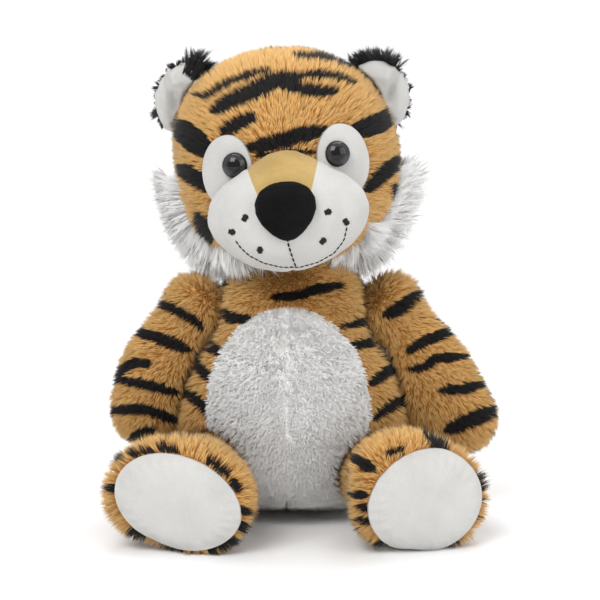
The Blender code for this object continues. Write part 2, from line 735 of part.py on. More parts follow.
def build_tail(empty):
    """The tail: its cover and its filling."""
    root = (tail_root(), Z_AXIS, (0.0,), TAIL_BALL_RADIUS)
    cover = stuffed_cover(tail_form(), *root)
    finish(cover, "tail_cover", FABRIC["orange_fur"], empty)
    filling = stuffed(tail_form(), *root, COVER_WALL + FILLING_GAP, inner=True)
    finish(filling, "tail_filling", FABRIC["fibre"], empty)


def oval_bar(middle, outward, half_width, half_height, tilt, back, ahead):
    """An oval bar through a place on the face, along its outward direction, upright but for a tilt."""
    bm = bmesh.new()
    bmesh.ops.create_cone(
        bm, cap_ends=True, segments=ROUND_SEGMENTS, radius1=1, radius2=1, depth=back + ahead
    )
    bmesh.ops.scale(bm, vec=(half_width, half_height, 1), verts=bm.verts)
    bmesh.ops.translate(bm, vec=Z_AXIS * (ahead - back) / 2, verts=bm.verts)
    sideways = Z_AXIS.cross(outward).normalized()
    upward = outward.cross(sideways)
    facing = Matrix((sideways, upward, outward)).transposed().to_4x4()
    place = HEAD_FRAME @ Matrix.Translation(middle) @ facing @ Matrix.Rotation(tilt, 4, Z_AXIS)
    bmesh.ops.transform(bm, matrix=place, verts=bm.verts)
    return tool(bm)


def patch_bar(side, grow):
    """The oval of white round an eye."""
    middle, outward = head_front(side * PATCH_SPACING / 2, PATCH_RISE)
    half_width = PATCH_HALF_WIDTH + grow
    half_height = PATCH_HALF_HEIGHT + grow
    tilt = side * PATCH_TILT
    return oval_bar(middle, outward, half_width, half_height, tilt, COVER_WALL * 3, OVERRUN)


def eye_bar(side, radius, back, ahead):
    """A round bar along an eye's axis, from a depth behind the head's surface to a height over it."""
    middle, outward = head_front(EYE_SHIFT + side * EYE_SPACING / 2, EYE_RISE)
    return oval_bar(middle, outward, radius, radius, 0.0, back, ahead)


def build_eye(side, empty):
    """One safety eye: a dome whose shank goes through the patch, and the washer that locks it inside."""
    word = SIDE_NAMES[side]
    middle, outward = head_front(EYE_SHIFT + side * EYE_SPACING / 2, EYE_RISE)
    bm = bmesh.new()
    bmesh.ops.create_uvsphere(bm, u_segments=ROUND_SEGMENTS, v_segments=SMALL_ROUND_SEGMENTS, radius=1)
    bmesh.ops.scale(bm, vec=(EYE_RADIUS, EYE_RADIUS, EYE_BULGE), verts=bm.verts)
    facing = outward.to_track_quat("Z", "Y").to_matrix().to_4x4()
    seat = middle + outward * SEAM_GAP
    bmesh.ops.transform(bm, matrix=HEAD_FRAME @ Matrix.Translation(seat) @ facing, verts=bm.verts)
    eye = meet(tool(bm), eye_bar(side, EYE_RADIUS * 2, -SEAM_GAP, EYE_BULGE * 2))
    shank = eye_bar(side, EYE_SHANK_RADIUS, EYE_SHANK_LENGTH, EYE_BULGE / 2)
    boolean(eye, "UNION", shank)
    finish(eye, f"eye_{word}", FABRIC["eye_plastic"], empty)
    washer = eye_bar(side, WASHER_RADIUS, WASHER_DEPTH + WASHER_THICKNESS, -WASHER_DEPTH)
    cut(washer, eye_bar(side, EYE_SHANK_RADIUS + SEAM_GAP, EYE_SHANK_LENGTH * 2, OVERRUN))
    finish(washer, f"eye_washer_{word}", FABRIC["washer_plastic"], empty)


def bridge_wedge(grow):
    """A tapered block that marks out the tan strip on top of the muzzle."""
    low = -NOSE_DROP + NOSE_HALF_HEIGHT * 0.7
    top = low + BRIDGE_LENGTH + OVERRUN
    widen = (BRIDGE_TOP_WIDTH - BRIDGE_LOW_WIDTH) / BRIDGE_LENGTH
    bm = bmesh.new()
    bmesh.ops.create_cube(bm, size=1)
    far = HEAD_HALF_DEPTH + MUZZLE_LENGTH + OVERRUN
    for vert in bm.verts:
        up = top if vert.co.z > 0 else low - grow
        half_width = (BRIDGE_LOW_WIDTH + widen * (up - low)) / 2 + grow
        across = half_width if vert.co.x > 0 else -half_width
        vert.co = (across, -far if vert.co.y < 0 else 0.0, up)
    bmesh.ops.transform(bm, matrix=HEAD_FRAME, verts=bm.verts)
    return tool(bm)


def nose_form():
    """A rounded nose that narrows downwards, on the front of the muzzle."""
    middle, _ = head_front(0, -MUZZLE_DROP)
    drop = (NOSE_DROP - MUZZLE_DROP) / MUZZLE_HALF_HEIGHT
    front = middle.y + MUZZLE_SET_BACK - MUZZLE_LENGTH * math.sqrt(1 - drop**2)
    centre = Vector((0, front, -NOSE_DROP))
    rise = Z_AXIS * NOSE_HALF_HEIGHT
    lean = Vector((0, NOSE_HALF_DEPTH, 0))
    spine = [centre - rise, centre - lean * 0.25, centre + rise + lean * 0.6]
    spine = [HEAD_FRAME @ point for point in spine]
    across = HEAD_FRAME.to_3x3() @ X_AXIS
    half_widths = [NOSE_HALF_WIDTH * share for share in (0.72, 1.0, 0.98)]
    half_depths = [NOSE_HALF_DEPTH] * 3
    ends = (NOSE_HALF_HEIGHT * 1.1, NOSE_HALF_HEIGHT * 0.8)
    return Form(spine, half_widths, half_depths, across, ends, (1.9, 2.4), SMALL_FACETS, SMALL_FACETS)


def build_muzzle(empty):
    """Two white halves, the tan bridge, the black nose and the filling."""
    form = muzzle_form()
    shell = cut(form.made(), form.made(-SMOOTH_WALL), head_form().made(SEAM_GAP))
    bridge = meet(copy_tool(shell), bridge_wedge(0.0))
    finish(bridge, "muzzle_bridge", FABRIC["tan_velour"], empty)
    cut(shell, bridge_wedge(SEAM_GAP))
    for side, word in SIDE_NAMES.items():
        half = meet(copy_tool(shell), half_space(HEAD_FRAME, side))
        finish(half, f"muzzle_panel_{word}", FABRIC["white_velour"], empty)
    bpy.data.objects.remove(shell)
    filling = cut(form.made(-SMOOTH_WALL - SEAM_GAP), head_form().made(SEAM_GAP))
    finish(filling, "muzzle_filling", FABRIC["fibre"], empty)
    nose = cut(nose_form().made(), form.made(SEAM_GAP))
    finish(nose, "nose", FABRIC["black_velour"], empty)


def neck_boss():
    """The part of the head's filling that reaches down through the neck hole to the plug."""
    high = ball(NECK, NECK_DOME_RADIUS + NECK_BOSS_HEIGHT, FINE_SEGMENTS)
    boss = meet(neck_bar(NECK_HOLE_RADIUS - FILLING_GAP), high)
    return cut(boss, ball(NECK, NECK_DOME_RADIUS + NECK_GAP, FINE_SEGMENTS))


def build_head(empty):
    """The face panel, the back panel, the eye patches and the filling of the head."""
    form = head_form()
    torso_margin = NECK_GAP + COVER_WALL
    shell = cut(form.made(), torso_form().made(NECK_GAP))
    hollow = cut(form.made(-COVER_WALL, inner=True), torso_form().made(torso_margin, inner=True))
    cut(shell, hollow, neck_bar(NECK_HOLE_RADIUS))
    seam_frame = HEAD_FRAME @ Matrix.Translation((0, HEAD_SEAM_BACK, 0)) @ Matrix.Rotation(-math.pi / 2, 4, Z_AXIS)
    back = meet(copy_tool(shell), half_space(seam_frame, RIGHT))
    finish(back, "head_back_panel", FABRIC["orange_fur"], empty)
    face = meet(shell, half_space(seam_frame, LEFT))
    for side, word in SIDE_NAMES.items():
        patch = meet(copy_tool(face), patch_bar(side, 0.0))
        cut(patch, eye_bar(side, EYE_SHANK_RADIUS + SEAM_GAP, EYE_SHANK_LENGTH, OVERRUN))
        finish(patch, f"eye_patch_{word}", FABRIC["white_velour"], empty)
        cut(face, patch_bar(side, SEAM_GAP))
    finish(face, "head_face_panel", FABRIC["orange_fur"], empty)
    margin = COVER_WALL + FILLING_GAP
    filling = cut(form.made(-margin, inner=True), torso_form().made(NECK_GAP + margin, inner=True))
    boolean(filling, "UNION", neck_boss())
    for side in (LEFT, RIGHT):
        pocket = eye_bar(side, WASHER_RADIUS + SEAM_GAP, EYE_SHANK_LENGTH + SEAM_GAP, OVERRUN)
        cut(filling, pocket)
    finish(filling, "head_filling", FABRIC["fibre"], empty)


def ear_frame(side):
    """The frame of an ear: origin in the middle of its base, Z out of the head and -Y out of its front."""
    out = math.cos(EAR_ANGLE[side])
    up = math.sin(EAR_ANGLE[side])
    scale = 1 / ((out / HEAD_HALF_WIDTH) ** 2 + (up / HEAD_HALF_HEIGHT) ** 2) ** 0.5
    base = Vector((side * out * scale, HEAD_SEAM_BACK, up * scale))
    lean = Matrix.Rotation(side * (math.pi / 2 - EAR_ANGLE[side]), 4, Y_AXIS)
    face_out = Matrix.Rotation(side * EAR_FACE_OUT, 4, Z_AXIS)
    return HEAD_FRAME @ Matrix.Translation(base) @ lean @ face_out


def ear_oval(side, grow):
    """The flat oval of an ear, about the middle of its base."""
    bm = bmesh.new()
    segments, rings = SMALL_FACETS
    bmesh.ops.create_uvsphere(bm, u_segments=segments, v_segments=rings, radius=1)
    size = (EAR_HALF_WIDTH + grow, EAR_HALF_THICKNESS + grow, EAR_HALF_HEIGHT + grow)
    bmesh.ops.scale(bm, vec=size, verts=bm.verts)
    bmesh.ops.transform(bm, matrix=ear_frame(side), verts=bm.verts)
    return tool(bm)


def ear_dish(side, grow):
    """The large ball that dishes an ear's front."""
    forward = EAR_DISH_RADIUS + EAR_HALF_THICKNESS - EAR_DISH_DEPTH
    return ball(ear_frame(side) @ Vector((0, -forward, 0)), EAR_DISH_RADIUS + grow, FINE_SEGMENTS)


def head_under_ear(side):
    """The head as an ear meets it upright and folded both ways."""
    frame = ear_frame(side)
    axis = (frame.to_3x3() @ X_AXIS).normalized()
    return turned_forms(head_form(), SEAM_GAP, False, frame.translation, axis, (0.0, -EAR_FOLD, EAR_FOLD))


def build_ear(side, empty):
    """One ear: a black furry back that is dished, and the smooth white front that lines the dish."""
    word = SIDE_NAMES[side]
    back = cut(
        ear_oval(side, 0.0),
        ear_dish(side, EAR_FRONT_THICKNESS + SEAM_GAP),
        *head_under_ear(side),
    )
    finish(back, f"ear_back_{word}", FABRIC["black_fur"], empty)
    front = meet(ear_oval(side, -SEAM_GAP), ear_dish(side, EAR_FRONT_THICKNESS))
    cut(front, ear_dish(side, 0.0), *head_under_ear(side))
    finish(front, f"ear_front_{word}", FABRIC["white_velour"], empty)


def build_ruff(side, empty):
    """One ruff of long white fur, from beside the eye to under the chin."""
    word = SIDE_NAMES[side]
    stations = 7
    spine = []
    for index in range(stations):
        angle = RUFF_START + (RUFF_END - RUFF_START) * index / (stations - 1)
        out = Vector((side * math.cos(angle), 0, -math.sin(angle)))
        spine.append(HEAD_FRAME @ (out * RUFF_RADIUS + Y_AXIS * HEAD_SEAM_BACK))
    swell_shares = (0.8, 0.95, 1.0, 1.05, 1.05, 1.0, 0.8)
    half_reaches = [RUFF_HALF_REACH * share for share in swell_shares]
    half_thicknesses = [RUFF_HALF_THICKNESS * share for share in swell_shares]
    across = HEAD_FRAME.to_3x3() @ Vector((side, 0, -1))
    ends = (RUFF_END_LENGTH, RUFF_END_LENGTH)
    form = Form(spine, half_reaches, half_thicknesses, across, ends, (2, 2), SMALL_FACETS, SMALL_FACETS)
    ruff = cut(form.made(), head_form().made(SEAM_GAP), torso_form().made(NECK_GAP))
    finish(ruff, f"ruff_{word}", FABRIC["white_fur"], empty)


def main():
    """Builds the tiger, body by body."""
    torso = joint_empty("torso_body", Vector())
    build_torso(torso)
    neck = joint_empty("neck_joint", NECK, torso)
    build_neck(neck)
    head = joint_empty("head_joint", NECK, neck)
    build_head(head)
    build_muzzle(head)
    for side, word in SIDE_NAMES.items():
        build_eye(side, head)
        build_ruff(side, head)
        build_ear(side, joint_empty(f"ear_joint_{word}", ear_frame(side).translation, head))
        build_arm(side, joint_empty(f"shoulder_joint_{word}", shoulder(side), torso))
        build_leg(side, joint_empty(f"hip_joint_{word}", hip(side), torso))
    build_tail(joint_empty("tail_joint", tail_root(), torso))


clear_scene()
PARTS = make_collection("plush_tiger", hidden=False)
CUTTERS = make_collection("cutters", hidden=True)
FABRIC = {
    "orange_fur": material("orange_fur", (0.62, 0.33, 0.11), 0.9),
    "white_fur": material("white_fur", (0.82, 0.81, 0.79), 0.9),
    "black_fur": material("black_fur", (0.02, 0.02, 0.022), 0.85),
    "white_velour": material("white_velour", (0.84, 0.83, 0.82), 0.85),
    "tan_velour": material("tan_velour", (0.66, 0.45, 0.22), 0.85),
    "black_velour": material("black_velour", (0.015, 0.015, 0.017), 0.8),
    "eye_plastic": material("eye_plastic", (0.05, 0.04, 0.04), 0.08),
    "washer_plastic": material("washer_plastic", (0.75, 0.75, 0.73), 0.45),
    "fibre": material("fibre", (0.85, 0.85, 0.84), 0.95),
    "bag_cloth": material("bag_cloth", (0.7, 0.69, 0.66), 0.9),
}
main()
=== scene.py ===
"""The looks of a seated plush tiger: pile, smooth cloths, stitched face and glossy eyes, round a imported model.

Every furry part is a stuffed form made from the model's own solids, with pile of real strands grown on it.
Stripes are painted on a front view of the tiger, and in bands round its back. Each strand takes its colour from
the place where it shows.
"""

import json
import logging
import math
from dataclasses import dataclass, field
from enum import Enum
from functools import partial
from typing import Callable, Iterable, Sequence

import bmesh
import bpy
import numpy as np
from mathutils import Matrix, Vector, noise
from mathutils.bvhtree import BVHTree
from mathutils.kdtree import KDTree


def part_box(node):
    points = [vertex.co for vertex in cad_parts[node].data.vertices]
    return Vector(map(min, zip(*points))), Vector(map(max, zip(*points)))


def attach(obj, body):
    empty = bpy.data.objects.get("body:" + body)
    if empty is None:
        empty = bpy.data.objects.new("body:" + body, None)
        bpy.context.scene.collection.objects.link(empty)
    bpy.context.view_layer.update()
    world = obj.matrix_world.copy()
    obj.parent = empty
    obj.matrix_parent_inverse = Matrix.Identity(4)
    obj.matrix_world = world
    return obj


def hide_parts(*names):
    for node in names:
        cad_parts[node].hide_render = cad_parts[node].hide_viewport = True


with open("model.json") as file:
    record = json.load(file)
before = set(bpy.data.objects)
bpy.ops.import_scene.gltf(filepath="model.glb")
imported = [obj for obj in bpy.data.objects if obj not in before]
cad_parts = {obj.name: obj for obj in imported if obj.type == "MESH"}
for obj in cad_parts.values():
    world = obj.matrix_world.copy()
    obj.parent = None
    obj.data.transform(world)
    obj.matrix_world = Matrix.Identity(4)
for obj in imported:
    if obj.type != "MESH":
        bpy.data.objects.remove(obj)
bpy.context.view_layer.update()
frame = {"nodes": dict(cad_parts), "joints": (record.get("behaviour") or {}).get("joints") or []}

log = logging.getLogger("plush_tiger")
MM = 0.001
SEED = 7
PALETTE = "OFBake"
TINTS = 8
FLOOR_CLEAR = 0.3 * MM
TINY = 1e-9
Line = tuple[tuple[float, float], ...]


class Coat(Enum):
    """The colours of pile."""

    ORANGE = 0
    BLACK = 1
    WHITE = 2


class Side(Enum):
    """The tiger's own left and right."""

    LEFT = 1
    RIGHT = -1

    @property
    def word(self) -> str:
        """The side's name in node and piece names."""
        return self.name.lower()


@dataclass(frozen=True)
class FrontView:
    """The camera in front of the tiger, whose picture is 600 by 600."""

    target: Vector = field(default_factory=lambda: Vector((0.0045, 0.0, 0.1376)))
    distance: float = 1.18
    elevation: float = math.radians(8)
    width: float = 600.0
    unit: float = 0.645 * MM
    sensor: float = 36.0

    def place(self) -> None:
        """Adds the camera and makes it the scene's."""
        data = bpy.data.cameras.new("front_camera")
        data.sensor_width = self.sensor
        data.lens = self.sensor * self.distance / (self.width * self.unit)
        camera = linked("front_camera", data)
        camera.location = self.eye()
        camera.rotation_euler = (math.pi / 2 - self.elevation, 0, 0)
        bpy.context.scene.camera = camera

    def eye(self) -> Vector:
        """Where the camera stands."""
        back = Vector((0, -math.cos(self.elevation), math.sin(self.elevation)))
        return self.target + back * self.distance

    def drawn(self, points: np.ndarray) -> np.ndarray:
        """Where points show in the picture.

        Args:
            points: An array of points, one to a row.

        Returns:
            Their picture places, across and down, one to a row.
        """
        rise = points[:, 2] - self.target.z
        up = points[:, 1] * math.sin(self.elevation) + rise * math.cos(self.elevation)
        scale = self.scale(points)
        across = self.width / 2 + (points[:, 0] - self.target.x) * scale
        return np.column_stack([across, self.width / 2 - up * scale])

    def scale(self, points: np.ndarray) -> np.ndarray:
        """How many pixels a metre takes in the picture at points."""
        rise = points[:, 2] - self.target.z
        back = points[:, 1] * math.cos(self.elevation) - rise * math.sin(self.elevation)
        return self.distance / self.unit / (self.distance + back)

    def ray(self, across: float, down: float) -> Vector:
        """The direction from the camera to a place in the picture."""
        ahead = Vector((0, math.cos(self.elevation), -math.sin(self.elevation)))
        upward = Vector((0, math.sin(self.elevation), math.cos(self.elevation)))
        x = (across - self.width / 2) * self.unit
        y = (self.width / 2 - down) * self.unit
        return (ahead * self.distance + Vector((x, 0, 0)) + upward * y).normalized()


VIEW = FrontView()


@dataclass(frozen=True)
class HeadFrame:
    """The head's own frame: its middle and its tilt to one side."""

    middle: Vector = field(default_factory=lambda: Vector((-0.006, -0.004, 0.229)))
    tilt: float = math.radians(5.5)

    def matrix(self) -> Matrix:
        """From the head's frame to the row's."""
        return Matrix.Translation(self.middle) @ Matrix.Rotation(-self.tilt, 4, "Y")


HEAD = HeadFrame()


class Value:
    """A number socket of a material, with sums written as expressions."""

    def __init__(self, shader: "Shader", socket: bpy.types.NodeSocket) -> None:
        """Holds the socket of one material."""
        self.shader = shader
        self.socket = socket

    def _with(self, operation: str, other: "Value | float", turned: bool = False) -> "Value":
        """A Math node of this value and another."""
        pair = (other, self) if turned else (self, other)
        made = self.shader.node("ShaderNodeMath", {"operation": operation}, {0: pair[0], 1: pair[1]})
        return Value(self.shader, made.outputs[0])

    def __add__(self, other: "Value | float") -> "Value":
        """Sum."""
        return self._with("ADD", other)

    def __mul__(self, other: "Value | float") -> "Value":
        """Product."""
        return self._with("MULTIPLY", other)

    def __sub__(self, other: "Value | float") -> "Value":
        """Difference."""
        return self._with("SUBTRACT", other)

    def __rsub__(self, other: float) -> "Value":
        """Difference from a number."""
        return self._with("SUBTRACT", other, turned=True)

    __radd__ = __add__
    __rmul__ = __mul__

    def eased(self, low: float, high: float) -> "Value":
        """Runs smoothly from 0 at low to 1 at high."""
        settings = {"interpolation_type": "SMOOTHSTEP"}
        made = self.shader.node("ShaderNodeMapRange", settings, {0: self, 1: low, 2: high})
        return Value(self.shader, made.outputs[0])


class Shader:
    """A material being made round its Principled shader."""

    def __init__(self, name: str, roughness: float, **constants: float) -> None:
        """Starts a material.

        Args:
            name: The material's name.
            roughness: The roughness all over.
            constants: Other Principled sockets by name, with _ for a space.
        """
        self.material = bpy.data.materials.new(name)
        self.material.use_nodes = True
        self.tree = self.material.node_tree
        self.principled = self.tree.nodes["Principled BSDF"]
        self.principled.inputs["Roughness"].default_value = roughness
        for socket, value in constants.items():
            self.principled.inputs[socket.replace("_", " ")].default_value = value

    def node(self, kind: str, settings: dict, sockets: dict) -> bpy.types.Node:
        """Adds a node.

        Args:
            kind: The node's type.
            settings: Its settings by name; "stops" is a ramp's places and colours, and "steps" how it runs.
            sockets: What its inputs take: a Value, an output socket or a constant.

        Returns:
            The node.
        """
        made = self.tree.nodes.new(kind)
        for name, value in settings.items():
            if name == "stops":
                self._ramp(made.color_ramp, value)
            elif name == "steps":
                made.color_ramp.interpolation = value
            else:
                setattr(made, name, value)
        for key, value in sockets.items():
            source = value.socket if isinstance(value, Value) else value
            if isinstance(source, bpy.types.NodeSocket):
                self.tree.links.new(source, made.inputs[key])
            else:
                made.inputs[key].default_value = source
        return made

    @staticmethod
    def _ramp(ramp: bpy.types.ColorRamp, stops: Sequence) -> None:
        """Sets a ramp's stops."""
        while len(ramp.elements) < len(stops):
            ramp.elements.new(1.0)
        for element, (place, colour) in zip(ramp.elements, stops):
            element.position = place
            element.color = (*colour, 1.0)

    def noise(self, scale: float, detail: float) -> Value:
        """Noise on the piece's own coordinates, in lumps 1 / scale across."""
        where = self.node("ShaderNodeTexCoord", {}, {}).outputs["Object"]
        made = self.node("ShaderNodeTexNoise", {}, {"Vector": where, "Scale": scale, "Detail": detail})
        return Value(self, made.outputs[0])

    def attribute(self, name: str) -> Value:
        """A number kept on the piece's points."""
        made = self.node("ShaderNodeAttribute", {"attribute_name": name}, {})
        return Value(self, made.outputs["Fac"])

    def mixed(self, factor: Value, first: object, second: object) -> bpy.types.NodeSocket:
        """A colour between two, each a colour or a socket."""
        settings = {"data_type": "RGBA"}
        sides = {6: first, 7: second}
        ready = {key: (*side, 1.0) if isinstance(side, tuple) else side for key, side in sides.items()}
        return self.node("ShaderNodeMix", settings, {0: factor, **ready}).outputs[2]

    def ramp(self, factor: Value, stops: Sequence, steps: str = "LINEAR") -> bpy.types.NodeSocket:
        """A colour ramp's colour."""
        settings = {"stops": stops, "steps": steps}
        return self.node("ShaderNodeValToRGB", settings, {0: factor}).outputs[0]

    def colour(self, socket: bpy.types.NodeSocket) -> None:
        """Gives the material its colour."""
        self.tree.links.new(socket, self.principled.inputs["Base Color"])

    def bump(self, height: Value, depth: float) -> None:
        """Gives the material relief.

        Args:
            height: The relief, from 0 to 1.
            depth: Its depth in metres.
        """
        sockets = {"Height": height, "Distance": depth, "Strength": 1.0}
        made = self.node("ShaderNodeBump", {}, sockets)
        self.tree.links.new(made.outputs[0], self.principled.inputs["Normal"])


@dataclass(frozen=True)
class PileFinish:
    """The finish of strands: each coat's colour at the root and at the tip, in a few tints. The darker root
    colours are painted shade deep in the pile.
    """

    # root: each coat's colour darkened at the root, painted shade deep in the pile
    root: tuple = ((0.46, 0.205, 0.045), (0.009, 0.008, 0.008), (0.91, 0.90, 0.885))
    tip: tuple = ((0.85, 0.525, 0.195), (0.018, 0.017, 0.017), (0.97, 0.965, 0.95))
    spreads: tuple = (0.34, 0.3, 0.06)
    warmth_spread: float = 0.08
    tip_at: float = 0.85

    def tinted(self, colours: tuple, coat: Coat, tint: int) -> tuple:
        """A coat's colour in one of its tints, darker first."""
        share = tint / (TINTS - 1) - 0.5
        shade = 1 + self.spreads[coat.value] * share
        warm = 1 + self.warmth_spread * math.sin(tint * 2.4) * (coat is Coat.ORANGE)
        red, green, blue = colours[coat.value]
        return (min(red * shade, 1.0), min(green * shade / warm**0.3, 1.0), min(blue * shade / warm, 1.0))

    def made(self) -> bpy.types.Material:
        """The material, which reads each strand's place in the palette."""
        shader = Shader("pile", 0.8, Sheen_Weight=0.1, Sheen_Roughness=0.5, Specular_IOR_Level=0.2)
        where = shader.node("ShaderNodeUVMap", {"uv_map": PALETTE}, {}).outputs[0]
        parts = shader.node("ShaderNodeSeparateXYZ", {}, {0: where})
        across, along = Value(shader, parts.outputs[0]), Value(shader, parts.outputs[1])
        count = TINTS * len(Coat)
        ends = []
        for colours in (self.root, self.tip):
            stops = [
                ((coat.value * TINTS + tint) / count, self.tinted(colours, coat, tint))
                for coat in Coat
                for tint in range(TINTS)
            ]
            ends.append(shader.ramp(across, stops, "CONSTANT"))
        # Along each strand the colour runs from the root's painted shade to the tip's colour.
        shader.colour(shader.mixed(along.eased(0.0, self.tip_at), *ends))
        return shader.material


@dataclass(frozen=True)
class ClothFinish:
    """The finish of a short smooth cloth: brushed nap, faint blotches and a soft sheen."""

    name: str
    colour: tuple
    shade: tuple
    nap_scale: float = 1500.0
    nap_depth: float = 0.25 * MM
    blotch_scale: float = 45.0
    sheen: float = 0.2
    roughness: float = 0.85
    gloss: float = 0.15
    nap_share: float = 0.55
    blotch_share: float = 0.65
    lit_range: tuple = (0.38, 0.78)

    def made(self) -> bpy.types.Material:
        """The material."""
        shader = Shader(self.name, self.roughness, Sheen_Weight=self.sheen, Specular_IOR_Level=self.gloss)
        nap = shader.noise(self.nap_scale, 3.0)
        blotch = shader.noise(self.blotch_scale, 4.0)
        shade = (nap * self.nap_share + blotch * self.blotch_share).eased(*self.lit_range)
        shader.colour(shader.mixed(shade, self.shade, self.colour))
        shader.bump(nap * 0.8 + shader.noise(self.nap_scale / 5, 2.0) * 0.4, self.nap_depth)
        return shader.material


@dataclass(frozen=True)
class BackingFinish:
    """The knitted backing that shows between strands, in the colours of the pile over it, darkened as painted
    shade deep in the pile.
    """

    name: str = "pile_backing"
    # These colours are darker than the pile's tips: painted shade between the strands.
    orange: tuple = (0.40, 0.18, 0.04)
    black: tuple = (0.012, 0.011, 0.011)
    white: tuple = (0.88, 0.87, 0.855)
    shade: float = 0.75
    knit_scale: float = 900.0
    knit_depth: float = 0.4 * MM

    def made(self) -> bpy.types.Material:
        """The material, which reads its colour from the piece's points."""
        shader = Shader(self.name, 0.95, Specular_IOR_Level=0.1)
        knit = shader.noise(self.knit_scale, 2.0)
        base = shader.mixed(knit.eased(0.3, 0.7), tuple(c * self.shade for c in self.orange), self.orange)
        darker = shader.mixed(shader.attribute("black"), base, self.black)
        shader.colour(shader.mixed(shader.attribute("white"), darker, self.white))
        shader.bump(knit, self.knit_depth)
        return shader.material


@dataclass(frozen=True)
class EyeFinish:
    """A clear dome over a dark iris and a black pupil."""

    pupil: float = 0.50
    pupil_colour: tuple = (0.004, 0.004, 0.004)
    iris: tuple = (0.026, 0.026, 0.027)
    iris_rim: tuple = (0.006, 0.006, 0.006)
    bright_at: float = 0.78
    bright: float = 1.7
    rim_at: float = 0.90
    grain: float = 0.05

    def made(self) -> bpy.types.Material:
        """The material, which reads how far each point is from the middle of the eye."""
        shader = Shader(
            "eye_dome", 0.35, Coat_Weight=1.0, Coat_Roughness=0.015, Coat_IOR=1.42, Specular_IOR_Level=0.0
        )
        out = shader.attribute("out") + (shader.noise(900.0, 2.0) - 0.5) * self.grain
        stops = (
            (0.0, self.pupil_colour),
            (self.pupil - 0.05, self.pupil_colour),
            (self.pupil + 0.04, self.iris),
            (self.bright_at, tuple(c * self.bright for c in self.iris)),
            (self.rim_at, self.iris_rim),
            (1.0, self.iris_rim),
        )
        shader.colour(shader.ramp(out, stops))
        return shader.material


@dataclass(frozen=True)
class ThreadFinish:
    """Embroidery thread with a fine twist."""

    name: str = "black_thread"
    colour: tuple = (0.004, 0.004, 0.004)
    lit: float = 3
    twist_scale: float = 2600.0
    twist_depth: float = 0.15 * MM

    def made(self) -> bpy.types.Material:
        """The material."""
        shader = Shader(self.name, 0.6, Sheen_Weight=0.05, Specular_IOR_Level=0.25)
        twist = shader.noise(self.twist_scale, 1.0)
        bright = tuple(c * self.lit for c in self.colour)
        shader.colour(shader.mixed(twist.eased(0.35, 0.7), self.colour, bright))
        shader.bump(twist, self.twist_depth)
        return shader.material


@dataclass(frozen=True)
class Stripe:
    """A dark stripe: a line with a width at each of its points, which tapers to its ends."""

    points: Line
    width: float
    blunt: float = 0.35

    def covers(self, places: np.ndarray, reach: np.ndarray) -> np.ndarray:
        """Which places lie in the stripe.

        Args:
            places: Flat places, one to a row.
            reach: How far each place is taken out of its true distance, for ragged edges.

        Returns:
            True for each place in the stripe.
        """
        line = np.array(self.points, float)
        steps = np.linalg.norm(np.diff(line, axis=0), axis=1)
        total = steps.sum()
        done = 0.0
        inside = np.zeros(len(places), bool)
        for start, end, step in zip(line, line[1:], steps):
            along = np.clip((places - start) @ (end - start) / step**2, 0, 1)
            near = start + along[:, None] * (end - start)
            off = np.linalg.norm(places - near, axis=1) + reach
            share = (done + along * step) / total
            taper = self.blunt + (1 - self.blunt) * np.sqrt(np.clip(1 - (2 * share - 1) ** 2, 0, 1))
            inside |= off < self.width / 2 * taper
            done += step
        return inside


def stripes(*rows: tuple) -> tuple[Stripe, ...]:
    """Stripes from rows of a width and then points."""
    return tuple(Stripe(row[1:], row[0]) for row in rows)


HEAD_STRIPES = stripes(
    (7, (291, 53), (305, 55), (319, 55), (336, 58), (356, 67)),
    (8, (270, 68), (247, 74), (220, 85), (206, 95), (192, 94)),
    (18, (211, 111), (229, 100), (256, 88), (283, 76), (300, 77)),
    (8, (290, 73), (305, 74), (327, 73), (345, 77), (356, 82)),
    (13, (278, 83), (303, 88), (319, 90), (338, 90)),
    (15, (220, 132), (235, 124), (254, 114)),
    (17, (246, 148), (274, 142), (297, 135), (330, 129)),
    (6, (254, 156), (285, 152), (318, 152)),
    (25, (174, 123), (190, 137), (208, 153)),
    (18, (178, 167), (194, 178), (210, 191)),
    (15, (196, 214), (203, 228), (210, 242)),
    (21, (352, 132), (374, 125), (398, 113)),
    (15, (366, 191), (384, 175), (404, 155)),
    (9, (395, 184), (398, 203)),
)
BODY_STRIPES = stripes(
    (11, (210, 306), (229, 318), (253, 320)),
    (12, (199, 338), (211, 348), (222, 356)),
    (11, (192, 360), (202, 372), (214, 384)),
    (11, (179, 388), (197, 402), (221, 427)),
    (11, (272, 298), (296, 296), (318, 289), (345, 285)),
    (9, (342, 328), (364, 322), (387, 318)),
    (11, (352, 347), (375, 342), (400, 337)),
    (12, (372, 385), (390, 370), (411, 362)),
    (11, (374, 420), (400, 402), (421, 388)),
    (10, (211, 276), (218, 280), (226, 284)),
    (11, (364, 284), (374, 280), (384, 280)),
)
ARM_STRIPES = {
    Side.RIGHT: stripes(
        (11, (154, 302), (178, 312), (197, 324), (202, 332)),
        (13, (131, 330), (157, 338), (191, 352)),
        (11, (150, 364), (133, 363), (121, 370), (116, 380)),
        (11, (115, 379), (144, 385), (180, 395)),
        (12, (108, 411), (144, 410), (180, 422)),
        (12, (130, 439), (154, 430)),
    ),
    Side.LEFT: stripes(
        (15, (385, 317), (402, 308), (421, 293)),
        (12, (408, 352), (424, 342), (455, 330)),
        (11, (409, 371), (426, 367), (437, 359), (468, 356)),
        (11, (441, 391), (462, 390), (485, 384)),
        (17, (446, 432), (474, 420), (500, 409)),
    ),
}
